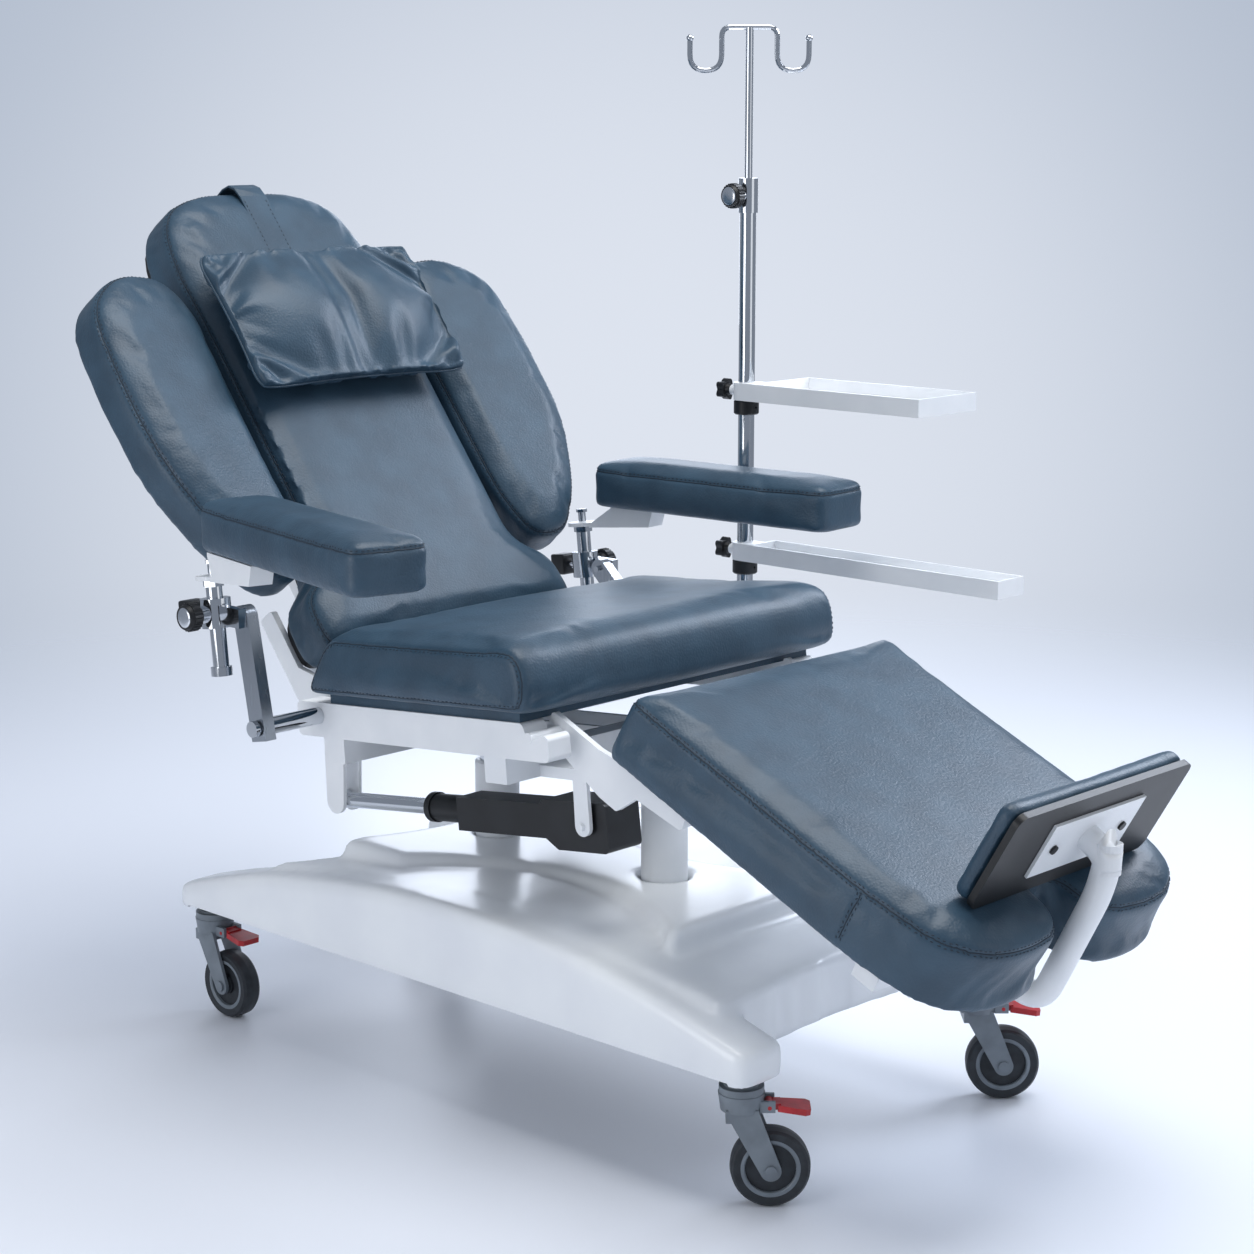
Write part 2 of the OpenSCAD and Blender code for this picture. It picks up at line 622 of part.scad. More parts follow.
// Backrest
back_rear = back_front - back_t;
board_back_t = 12;
back_crown = 6;
lever_gap = 22;
lever_t = 6;
lever_pin = [74.7, -153.1];
function back_s(y, z) = y * cos(back_angle) + z * sin(back_angle);
function back_n(y, z) = -y * sin(back_angle) + z * cos(back_angle);
lever_s = back_s(lever_pin[0], lever_pin[1]);
lever_n = back_n(lever_pin[0], lever_pin[1]);
elbow_s = back_s(76, -26);
elbow_n = back_n(76, -26);
frame_n1 = back_rear - board_back_t - gap;
frame_n0 = frame_n1 - 30;
plate_x = rail_in - 12;
wing_bars = [290, 560];
wing_reach = back_mid_w + 80;
back_bars = [back_foot_s + 34, back_foot_s + 324, back_top_s - 172];
bar_h = 34;
upright_x = back_mid_w - 40;
upright_w = 30;
module back_frame() color(white_paint) on_back() difference() {
  union() {
    for (s = [-1, 1]) translate([s * plate_x - 5, 0, 0]) rotate([90, 0, 90]) linear_extrude(10)
      offset(r = 6) offset(delta = -6)
      polygon([[-17, -17], [-17, 16], [12, 22], [96, frame_n1], [190, frame_n1], [190, frame_n0], [60, frame_n0]]);
    for (s = [-1, 1]) block([s * upright_x - upright_w / 2, back_bars[0] - 10, frame_n0],
      [s * upright_x + upright_w / 2, back_bars[2] + upright_w, frame_n1]);
    for (y = back_bars) block([y == back_bars[0] ? -plate_x : -upright_x, y, frame_n0 + 4],
      [y == back_bars[0] ? plate_x : upright_x, y + bar_h, frame_n1]);
    for (y = wing_bars) block([-wing_reach, y, frame_n1 - 8], [wing_reach, y + bar_h, frame_n1]);
    for (s = [-1, 1]) translate([back_drive_x + s * (lever_gap + lever_t) / 2 - lever_t / 2, 0, 0])
      rotate([90, 0, 90]) linear_extrude(lever_t) offset(r = 8) offset(delta = -8) union() {
        hull() {
          translate([elbow_s, elbow_n]) circle(d = 44);
          translate([lever_s, lever_n]) circle(d = 36);
        }
        hull() {
          translate([elbow_s, elbow_n]) circle(d = 44);
          translate([127, frame_n0 + 13]) circle(d = 32);
        }
      }
  }
  across(back_axle_d + 2 * run, -300, 300, 0, 0);
}
back_path = [
  [-back_foot_w, back_foot_s, 34], [back_foot_w, back_foot_s, 34], [back_foot_w, back_foot_s + 92, 34],
  [back_mid_w, back_foot_s + 130, 30], [back_mid_w + 1, 600, 60], [back_mid_w + 8, 730, 46],
  [back_mid_w - 18, back_top_s - 30, 58], [back_mid_w - 110, back_top_s, 38],
  [-back_mid_w + 110, back_top_s, 38], [-back_mid_w + 18, back_top_s - 30, 58], [-back_mid_w - 8, 730, 46],
  [-back_mid_w - 1, 600, 60], [-back_mid_w, back_foot_s + 130, 30], [-back_foot_w, back_foot_s + 92, 34]
];
module back_board() color(black_plastic) on_back() translate([0, 0, back_rear - board_back_t])
  linear_extrude(board_back_t - gap) polygon(rounded(inset(back_path, 14), 4));
module back_cushion() color(hide) on_back() translate([0, 0, back_rear]) cushion(back_path, back_t, 20, back_crown);

wing_s0 = back_foot_s + 114;
module on_wing(s) on_back() mirror([s > 0 ? 0 : 1, 0, 0])
  translate([back_mid_w + 8, wing_s0, back_rear + 8]) rotate([0, -wing_tilt, 0]) children();
wing_foot = 20;
wing_path = [
  [4, 90, 40], [30, 4, 34], [96, 0, 30], [wing_w * 0.72, 66, 40], [wing_w * 0.97, 190, 60],
  [wing_w, wing_len * 0.68, 60], [wing_w * 0.93, wing_len * 0.9, 50], [wing_w * 0.55, wing_len, 40],
  [wing_w * 0.18, wing_len - 8, 34], [2, wing_len * 0.86, 36]
];
module wing(s) color(hide) on_wing(s) {
  cushion(wing_path, wing_t, 20, 7);
  for (y = wing_bars) translate([14, y - wing_s0 + 2, -wing_foot]) cube([46, 30, wing_foot + 1]);
}

strap_low = back_front + back_crown + gap;
pillow_rear = strap_low + strap_t + gap;
module pillow() color(hide) on_back() translate([0, pillow_s, pillow_rear + pillow_t / 2]) skin(
  [[-pillow_w / 2, -pillow_h / 2, 14], [0, -pillow_h / 2 + 8, 60], [pillow_w / 2, -pillow_h / 2, 14],
    [pillow_w / 2 - 10, 0, 40], [pillow_w / 2, pillow_h / 2, 14], [0, pillow_h / 2 - 8, 60],
    [-pillow_w / 2, pillow_h / 2, 14], [-pillow_w / 2 + 10, 0, 40]],
  [[70, -pillow_t * 0.5], [38, -pillow_t * 0.46], [12, -pillow_t * 0.26], [0, 0], [12, pillow_t * 0.26],
    [38, pillow_t * 0.46], [70, pillow_t * 0.5]], 5);
strap_rear = back_rear - board_back_t - gap;
// Inner line of the strap: from under the pillow, over the top of the back and down behind the board
strap_line = [
  [pillow_s - 40, strap_low], [back_top_s - 30, strap_low], [back_top_s - 14, back_front + 3],
  [back_top_s - 2, back_front - 6], [back_top_s + 2, back_front - 20], [back_top_s + 2, strap_rear],
  [back_top_s - 60, strap_rear]
];
module pillow_strap() color(hide) on_back() rotate([90, 0, 90]) translate([0, 0, -strap_w / 2])
  linear_extrude(strap_w) polygon(concat(strap_line, [
    [back_top_s - 60, strap_rear - strap_t], [back_top_s + 2 + strap_t, strap_rear - strap_t],
    [back_top_s + 2 + strap_t, back_front - 19], [back_top_s, back_front - 3],
    [back_top_s - 12, back_front + 3 + strap_t], [back_top_s - 29, strap_low + strap_t],
    [pillow_s - 40, strap_low + strap_t]
  ]));

// Drives: each lies along +x of its own frame, from its housing pin to its rod eye
eye_d = 26;
module drive_housing(len, wide_side) difference() {
  union() {
    intersection() {
      translate([-34, -drive_w / 2, -36]) cube([120, drive_w, 66]);
      translate([-34, -60, -36]) rotate([-90, 0, 0]) linear_extrude(240) offset(r = 8) offset(delta = -8)
        polygon([[0, 0], [92, 0], [120, -18], [120, -66], [0, -66]]);
    }
    translate([60, -24, -24]) cube([len - 60, 48, 46]);
    translate([len - 2, 0, 0]) rotate([0, 90, 0]) cylinder(d = drive_rod_d + 16, h = 72);
    translate([len + 62, 0, 0]) rotate([0, 90, 0]) cylinder(d = drive_rod_d + 20, h = 10);
    translate([26, drive_w / 2 - 1, -36]) cube([60, wide_side, 52]);
  }
  translate([0, 60, 0]) rotate([90, 0, 0]) cylinder(d = drive_pin_d + 2 * run, h = 160);
  translate([20, 0, 0]) rotate([0, 90, 0]) cylinder(d = drive_rod_d + 2 * run, h = len + 120);
}
module drive_rod(from, to) {
  translate([from, 0, 0]) rotate([0, 90, 0]) cylinder(d = drive_rod_d, h = to - 8 - from);
  translate([to, 9, 0]) rotate([90, 0, 0]) cylinder(d = eye_d, h = 18);
}
back_eye = [hinge[0] + lever_pin[0], hinge[1] + lever_pin[1]];
back_reach = norm(back_eye - back_pin);
back_drive_tilt = atan2(back_eye[1] - back_pin[1], back_eye[0] - back_pin[0]);
module on_back_drive() in_frame() translate([back_drive_x, back_pin[0], back_pin[1]]) rotate([back_drive_tilt, 0, 0])
  rotate([0, 0, 90]) children();
module back_drive() color(black_plastic) on_back_drive() mirror([0, 1, 0]) drive_housing(255, 46);
module back_drive_rod() color(steel_chrome) on_back_drive() drive_rod(165, back_reach);

leg_lug = [-95, -55];
leg_eye = leg_pivot + [leg_lug[0] * cos(leg_angle) - leg_lug[1] * sin(leg_angle),
  leg_lug[0] * sin(leg_angle) + leg_lug[1] * cos(leg_angle)];
leg_reach = norm(leg_eye - leg_pin);
leg_drive_tilt = atan2(leg_eye[1] - leg_pin[1], leg_pin[0] - leg_eye[0]);
module on_leg_drive() in_frame() translate([leg_drive_x, leg_pin[0], leg_pin[1]]) rotate([-leg_drive_tilt, 0, 0])
  rotate([0, 0, -90]) children();
module leg_drive() color(black_plastic) on_leg_drive() drive_housing(176, 1);
module leg_drive_rod() color(steel_chrome) on_leg_drive() drive_rod(110, leg_reach);

// Legrest
leg_bar_x = rail_in - 14;
leg_bar_t = 9;
leg_tip = -leg_rear - leg_len;
guide_w = stem_tube_d + 10;
stem_low = leg_under - 29 - stem_tube_d / 2;
front_bar_y = leg_tip + 119;
rear_bar_y = -leg_rear - 132;
leg_bar_w = 36;
side_bar_x = 120;
side_bar_w = 28;
tray_edge = 40; // from the sides of the pad in to the sheet that carries it
module leg_frame() color(white_paint) on_leg() difference() {
  union() {
    for (s = [-1, 1]) translate([s > 0 ? leg_bar_x - leg_bar_t : -leg_bar_x, 0, 0]) rotate([90, 0, 90])
      linear_extrude(leg_bar_t) offset(r = 5) offset(delta = -5)
      polygon([[20, -18], [20, 18], [-70, 18], [-104, leg_under - 7], [-230, leg_under - 7], [-230, leg_under - 27],
        [-150, leg_under - 34], [-128, -38], [-96, -38]]);
    for (y = [rear_bar_y, front_bar_y])
      block([-leg_bar_x + 2, y, leg_under - 27], [leg_bar_x - 2, y + leg_bar_w, leg_under - 7]);
    for (s = [-1, 1]) block([s * side_bar_x - side_bar_w / 2, front_bar_y, leg_under - 27],
      [s * side_bar_x + side_bar_w / 2, rear_bar_y + leg_bar_w - 10, leg_under - 7]);
    block([-leg_half + tray_edge, front_bar_y - tray_edge, leg_under - 7],
      [leg_half - tray_edge, -leg_rear - 24, leg_under - gap]);
    for (s = [-1, 1]) across(leg_pin_d, s > 0 ? leg_bar_x - leg_bar_t - 4 : -rail_out - 2,
      s > 0 ? rail_out + 2 : -leg_bar_x + leg_bar_t + 4);
    for (s = [-1, 1]) translate([leg_drive_x + s * (lever_gap + lever_t) / 2 - lever_t / 2, 0, 0])
      rotate([90, 0, 90]) linear_extrude(lever_t) hull() {
        translate([leg_lug[0], leg_lug[1]]) circle(d = 30);
        translate([-150, leg_under - 22]) square([60, 10]);
      }
    block([leg_drive_x - 30, -150, leg_under - 12], [leg_drive_x + 30, -80, leg_under - 7 + 1]);
    block([-guide_w / 2, front_bar_y, stem_low - guide_w / 2], [guide_w / 2, front_bar_y + 90, leg_under - 12]);
  }
  block([-notch_w / 2 - 6, leg_tip - 20, -200], [notch_w / 2 + 6, leg_tip + notch_len + 14, leg_under + 1]);
  translate([0, leg_tip - 20, stem_low]) rotate([-90, 0, 0]) cylinder(d = stem_tube_d + 2 * gap, h = 400);
}
leg_path = [
  [-leg_half, leg_tip + 150, 60], [-leg_half + 26, leg_tip + 30, 62], [-leg_half + 130, leg_tip, 46],
  [-notch_w / 2 - 26, leg_tip + 14, 26], [-notch_w / 2, leg_tip + 50, 18], [-notch_w / 2 + 1, leg_tip + notch_len, 24],
  [notch_w / 2 - 1, leg_tip + notch_len, 24], [notch_w / 2, leg_tip + 50, 18], [notch_w / 2 + 26, leg_tip + 14, 26],
  [leg_half - 130, leg_tip, 46], [leg_half - 26, leg_tip + 30, 62], [leg_half, leg_tip + 150, 60],
  [leg_half - 2, -leg_rear, 18], [-leg_half + 2, -leg_rear, 18]
];
module leg_cushion() color(hide) on_leg() translate([0, 0, leg_under]) cushion(leg_path, leg_t, 14, 5, 5);

// Footrest: y up the board, z out of its rear face, from the middle of the rear face of the pad,
// whose place is given in the legrest's frame
foot_at = [leg_tip + 79, leg_under + leg_t + 82.5];
panel_t = 9;
plate_t = 4;
module on_foot() on_leg() translate([0, foot_at[0], foot_at[1]]) rotate([90 + foot_lean - leg_angle, 0, 0])
  children();
// Middle line of the bent stem on the plane x = 0 of the legrest, from the guide to the plate
stem_corners = [
  [leg_tip + 130, stem_low, 0], [leg_tip + 28, stem_low, 34],
  [leg_tip + 21, foot_at[1] - 30.7, 44], [leg_tip + 31, foot_at[1] - 5.7, 20],
  concat(foot_at + (panel_t + plate_t - 1) * [-sin(90 + foot_lean - leg_angle), cos(90 + foot_lean - leg_angle)], [0])
];
function open_path(path, n) = [
  for (i = [0:len(path) - 1])
    each (i == 0 || i == len(path) - 1) ? [[path[i][0], path[i][1]]]
      : corner_points(path[i - 1], path[i], path[i + 1], n)
];
// A round tube along a line of [y, z] points on the plane x = 0
module bent_tube(pts, r, sides = 16) {
  n = len(pts);
  rings = [for (i = [0:n - 1])
    let (t = i == 0 ? pts[1] - pts[0] : i == n - 1 ? pts[n - 1] - pts[n - 2] : pts[i + 1] - pts[i - 1],
         m = [-t[1], t[0]] / norm(t))
    for (k = [0:sides - 1]) let (a = 360 * k / sides)
      [r * cos(a), pts[i][0] + r * sin(a) * m[0], pts[i][1] + r * sin(a) * m[1]]];
  faces = [
    for (i = [0:n - 2]) for (k = [0:sides - 1]) let (j = (k + 1) % sides)
      each [[i * sides + k, i * sides + j, (i + 1) * sides + k],
        [i * sides + j, (i + 1) * sides + j, (i + 1) * sides + k]]
  ];
  caps = [[for (k = [sides - 1:-1:0]) k], [for (k = [0:sides - 1]) (n - 1) * sides + k]];
  polyhedron(points = rings, faces = concat(faces, caps), convexity = 6);
}
module foot_stem() color(white_paint) {
  on_leg() bent_tube(open_path(stem_corners, 6), stem_tube_d / 2 - 0.5, 20);
  on_leg() translate([0, leg_tip + 125, stem_low]) rotate([-90, 0, 0]) cylinder(d = stem_tube_d, h = 250);
  on_foot() difference() {
    translate([-95, -40, panel_t + gap]) cube([190, 80, plate_t]);
    for (sx = [-1, 1]) translate([sx * 72, 0, 0]) cylinder(d = 7, h = 30);
  }
}
module foot_panel() color(black_plastic) on_foot() {
  linear_extrude(panel_t) offset(r = 14) offset(delta = -14)
    square([foot_w - 6, foot_h - 6], center = true);
  for (sx = [-1, 1]) translate([sx * 72, 0, panel_t - 1]) cylinder(d = 6.4, h = plate_t + 2);
  for (sx = [-1, 1]) translate([sx * 72, 0, panel_t + plate_t + 2 * gap]) cylinder(d = 12, h = 3);
}
module foot_pad() color(hide) on_foot() mirror([0, 0, 1])
  translate([0, 0, gap]) skin(rect(-foot_w / 2, -foot_h / 2, foot_w / 2, foot_h / 2, 22), [
    [5, 0], [1, 3], [0, foot_t * 0.5], [2, foot_t - 5], [8, foot_t - 1], [20, foot_t + 1]]);

// Armrests
function arm_top(lean) = hinge + arm_len * [sin(lean), cos(lean)];
module on_clamp(s, lean) in_frame() translate([s * post_span / 2, arm_top(lean)[0], arm_top(lean)[1]]) children();
module on_post(s, lean) on_clamp(s, lean) translate([0, post_back, 0]) rotate([-post_lean, 0, 0]) children();
module on_pad(s, lean, up, yaw) on_clamp(s, lean)
  translate([0, post_back + up * sin(post_lean), up * cos(post_lean)]) rotate([0, 0, s * yaw]) children();
arm_pin_d = 10;
clamp_d = 42;
clamp_h = 40;
knob_stem_d = 8;
knob_d = 40;
// Faces from x = a outwards to x = b on the side s
module outward(s, a, b, y0, y1, z0, z1) block([s > 0 ? a : -b, y0, z0], [s > 0 ? b : -a, y1, z1]);
module arm_bar(s, lean) color(steel_chrome) in_frame() translate([s * arm_x, hinge[0], hinge[1]])
  rotate([-lean, 0, 0]) difference() {
    union() {
      translate([-arm_bar_w / 2, -15, -18]) cube([arm_bar_w, 30, arm_len + 18]);
      translate([-arm_bar_w / 2, 0, arm_len]) rotate([0, 90, 0]) cylinder(d = 30, h = arm_bar_w);
    }
    across(axle_neck_d + 2 * run, -20, 20, 0, 0);
    across(arm_pin_d + 2 * run, -20, 20, 0, arm_len);
  }
lug_in = arm_x + arm_bar_w / 2 + gap - post_span / 2;
lug_t = 13;
boss_out = 9;
module arm_clamp(s, lean) color(steel_chrome) difference() {
  union() {
    on_post(s, lean) translate([0, 0, -clamp_h / 2]) cylinder(d = clamp_d, h = clamp_h);
    on_post(s, lean) rotate([0, s * 90, 0]) cylinder(d = 24, h = clamp_d / 2 + boss_out);
    on_clamp(s, lean) outward(s, lug_in, lug_in + lug_t, -lug_t, post_back, -lug_t, lug_t);
    on_clamp(s, lean) translate([s * lug_in, 0, 0]) rotate([0, s * 90, 0]) translate([0, 0, -arm_bar_w - 6])
      cylinder(d = arm_pin_d, h = arm_bar_w + 6 + lug_t);
    on_post(s, lean) rotate([-90, 0, 0]) cylinder(d = 16, h = clamp_d / 2 + 16);
    on_post(s, lean) translate([-15, clamp_d / 2 + 14, -15]) cube([30, 26, 30]);
  }
  on_post(s, lean) translate([0, 0, -clamp_h]) cylinder(d = post_d + 2 * run, h = 2 * clamp_h);
  on_post(s, lean) rotate([0, s * 90, 0]) cylinder(d = knob_stem_d + 2 * run, h = 60);
}
// A clamp screw with a round knob: its stem starts at x = 0 and its knob at x = reach
module clamp_screw(stem, reach, d) rotate([0, 90, 0]) {
  cylinder(d = stem, h = reach + 2);
  translate([0, 0, reach]) cylinder(d1 = d * 0.5, d2 = d * 0.7, h = 6);
  translate([0, 0, reach + 6]) linear_extrude(13) polygon([
    for (i = [0:47]) let (r = d / 2 - (i % 2) * 1.2) [r * cos(i * 7.5), r * sin(i * 7.5)]]);
  translate([0, 0, reach + 19]) cylinder(d1 = d - 4, d2 = d - 8, h = 5);
}
module arm_knob(s, lean) color(black_plastic) on_post(s, lean) rotate([0, 0, s > 0 ? 0 : 180])
  translate([post_d / 2 + gap, 0, 0]) clamp_screw(knob_stem_d, clamp_d / 2 + boss_out - post_d / 2, knob_d);
spindle_d = 12;
nut_h = 9;
module arm_post(s, lean, up) color(steel_chrome) on_post(s, lean) {
  translate([0, 0, up - post_len]) cylinder(d = post_d, h = post_len - 36);
  translate([0, 0, up - post_len]) cylinder(d = post_d + 7, h = 12);
  translate([0, 0, up - 36]) cylinder(d = post_d + 8, h = nut_h, $fn = 6);
  translate([0, 0, up - 36]) cylinder(d = spindle_d, h = 36);
  translate([0, 0, up - 5]) cylinder(d = spindle_d + 6, h = 5, $fn = 6);
}
pad_rise = 15;
pad_edge = 31;
module arm_bracket(s, lean, up, yaw, ahead) color(white_paint) {
  on_post(s, lean) translate([0, 0, up - 36 + nut_h + gap]) difference() {
    union() {
      cylinder(d = 46, h = 6);
      rotate([0, 0, s * yaw]) translate([-17, -60, 0]) cube([34, 60, 6]);
    }
    translate([0, 0, -1]) cylinder(d = spindle_d + 2 * run, h = 12);
  }
  on_pad(s, lean, up, yaw) rotate([90, 0, 90]) translate([0, 0, -17]) linear_extrude(34) polygon([
    [-30, -25], [-150, -13], [-158, pad_rise - gap], [-ahead - 12, pad_rise - gap], [-ahead - 12, pad_rise - 5],
    [-36, -16]]);
}
module arm_pad(s, lean, up, yaw, ahead, edge) color(hide) on_pad(s, lean, up, yaw)
  translate([s * (edge - pad_w / 2), -ahead - pad_len / 2, pad_rise])
  cushion(rect(-pad_w / 2, -pad_len / 2, pad_w / 2, pad_len / 2, 26), pad_t, 12, 3);

// Infusion pole
module on_pole(z = 0) in_frame() translate([pole_x, pole_y, z]) children();
clamp_len = 52;
rod_in = 300;
rod_room = 448;
module pole() color(steel_chrome) on_pole(pole_low + 4) difference() {
  union() {
    cylinder(d = pole_d, h = pole_top - pole_low - 4);
    translate([0, 0, pole_top - pole_low - 4 - clamp_len]) cylinder(d = pole_d + 5, h = clamp_len);
    translate([0, 0, pole_top - pole_low - 4 - clamp_len / 2]) rotate([0, 0, pole_knob_yaw]) rotate([0, 90, 0])
      cylinder(d = 16, h = pole_d / 2 + boss_out);
  }
  translate([0, 0, pole_top - pole_low - 4 - rod_room]) cylinder(d = rod_d + 2 * run, h = rod_room + 1);
  translate([0, 0, pole_top - pole_low - 4 - clamp_len / 2]) rotate([0, 0, pole_knob_yaw]) rotate([0, 90, 0])
    cylinder(d = knob_stem_d + 2 * run, h = 60);
}
pole_knob_yaw = 180;
module pole_knob() color(black_plastic) on_pole(pole_top - clamp_len / 2) rotate([0, 0, pole_knob_yaw])
  translate([rod_d / 2 + gap, 0, 0]) clamp_screw(knob_stem_d, pole_d / 2 + boss_out - rod_d / 2, knob_d - 2);
hook_r = 24;
hook_in = hook_w / 2 - 2 * hook_r;
hook_drop = 64;
hook_tip = 16;
function hook_side(s) = [
  [s * hook_w / 2, -hook_tip, 0], [s * hook_w / 2, -hook_drop, hook_r], [s * hook_in, -hook_drop, hook_r],
  [s * hook_in, 0, 14]
];
function reversed(a) = [for (i = [len(a) - 1:-1:0]) a[i]];
module pole_rod() color(steel_chrome) on_pole() {
  translate([0, 0, pole_top - rod_in]) cylinder(d = rod_d, h = hook_z - pole_top + rod_in);
  translate([0, 0, hook_z]) rotate([0, 0, hook_yaw + 90]) {
    bent_tube(open_path(concat(hook_side(-1), reversed(hook_side(1))), 6), hook_d / 2, 12);
    for (s = [-1, 1]) translate([0, s * hook_w / 2, -hook_tip]) sphere(d = hook_d + 3);
  }
}
collar_h = 22;
boss_d = 40;
star_d = 34;
star_reach = 24;
tray_neck = 24;
// A tray hung on the pole by a boss at its rear end; z is the height of its rim
module tray(z, len, w) color(white_paint) on_pole(z - tray_h) difference() {
  union() {
    cylinder(d = boss_d, h = tray_h);
    translate([-boss_d / 2, -tray_neck, 0]) cube([boss_d, tray_neck, tray_h]);
    translate([-boss_d / 2, -tray_neck - len, 0]) cube([w, len, tray_h]);
    translate([0, 0, tray_h / 2]) rotate([-90, 0, 0]) cylinder(d = 16, h = pole_d / 2 + star_reach - 8);
  }
  translate([tray_wall - boss_d / 2, tray_wall - tray_neck - len, tray_wall])
    cube([w - 2 * tray_wall, len - 2 * tray_wall, tray_h]);
  translate([0, 0, -1]) cylinder(d = pole_d + 2 * run, h = tray_h + 2);
  translate([0, 0, tray_h / 2]) rotate([-90, 0, 0]) cylinder(d = knob_stem_d + 2 * run, h = 60);
}
// The sleeve that carries a tray
module collar(z) color(white_paint) on_pole(z - tray_h - gap - collar_h) difference() {
  rotate_extrude($fn = 64) polygon([[pole_d / 2 + run, 0], [pole_d / 2 + 5, 0], [pole_d / 2 + 7, 2],
    [pole_d / 2 + 7, collar_h - 2], [pole_d / 2 + 5, collar_h], [pole_d / 2 + run, collar_h]]);
  translate([0, 0, collar_h / 2]) rotate([90, 0, 0]) cylinder(d = 4, h = 40);
}
// A star knob with five lobes on a threaded stem
module star_knob(z) color(black_plastic) on_pole(z - tray_h / 2) rotate([-90, 0, 0]) {
  translate([0, 0, pole_d / 2 + gap]) cylinder(d = knob_stem_d, h = star_reach + 2);
  translate([0, 0, pole_d / 2 + star_reach - 8 + gap]) cylinder(d1 = 14, d2 = 20, h = 9);
  translate([0, 0, pole_d / 2 + star_reach]) linear_extrude(13) polygon([
    for (i = [0:59]) let (r = star_d / 2 - 2.4 + 2.4 * cos(i * 6 * 5)) [r * cos(i * 6), r * sin(i * 6)]]);
}

base_cover();
base_frame();
column_tubes();
ram_rear();
ram_front();
at_caster(-1, -1, yaw_front_right) caster_fork();  // fork_front_right
at_caster(-1, -1, yaw_front_right) caster_wheel();  // wheel_front_right
at_caster(-1, -1, yaw_front_right) caster_pedal();  // pedal_front_right
at_caster(1, -1, yaw_front_left) caster_fork();  // fork_front_left
at_caster(1, -1, yaw_front_left) caster_wheel();  // wheel_front_left
at_caster(1, -1, yaw_front_left) caster_pedal();  // pedal_front_left
at_caster(-1, 1, yaw_rear_right) caster_fork();  // fork_rear_right
at_caster(-1, 1, yaw_rear_right) caster_wheel();  // wheel_rear_right
at_caster(-1, 1, yaw_rear_right) caster_pedal();  // pedal_rear_right
at_caster(1, 1, yaw_rear_left) caster_fork();  // fork_rear_left
at_caster(1, 1, yaw_rear_left) caster_wheel();  // wheel_rear_left
at_caster(1, 1, yaw_rear_left) caster_pedal();  // pedal_rear_left
rail_left();
rail_right();
subframe();
back_axle();
seat_board();
seat_cushion();
back_frame();
back_board();
back_cushion();
wing(1);  // wing_left
wing(-1);  // wing_right
pillow_strap();
pillow();
back_drive();
back_drive_rod();
leg_drive();
leg_drive_rod();
leg_frame();
leg_cushion();
foot_stem();
foot_panel();
foot_pad();
arm_bar(-1, arm_lean_right);  // arm_bar_right
arm_clamp(-1, arm_lean_right);  // arm_clamp_right
arm_knob(-1, arm_lean_right);  // arm_knob_right
arm_post(-1, arm_lean_right, post_up_right);  // arm_post_right
arm_bracket(-1, arm_lean_right, post_up_right, pad_yaw_right, pad_ahead_right);  // arm_bracket_right
arm_pad(-1, arm_lean_right, post_up_right, pad_yaw_right, pad_ahead_right, pad_edge);  // arm_pad_right
arm_bar(1, arm_lean_left);  // arm_bar_left
arm_clamp(1, arm_lean_left);  // arm_clamp_left
arm_knob(1, arm_lean_left);  // arm_knob_left
arm_post(1, arm_lean_left, post_up_left);  // arm_post_left
arm_bracket(1, arm_lean_left, post_up_left, pad_yaw_left, pad_ahead_left);  // arm_bracket_left
arm_pad(1, arm_lean_left, post_up_left, pad_yaw_left, pad_ahead_left, pad_w / 2);  // arm_pad_left
pole();
pole_rod();
pole_knob();
tray(upper_z, upper_len, upper_w);  // upper_tray
collar(upper_z);  // upper_collar
star_knob(upper_z);  // upper_knob
tray(lower_z, lower_len, lower_w);  // lower_tray
collar(lower_z);  // lower_collar
star_knob(lower_z);  // lower_knob
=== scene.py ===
# %% [markdown]
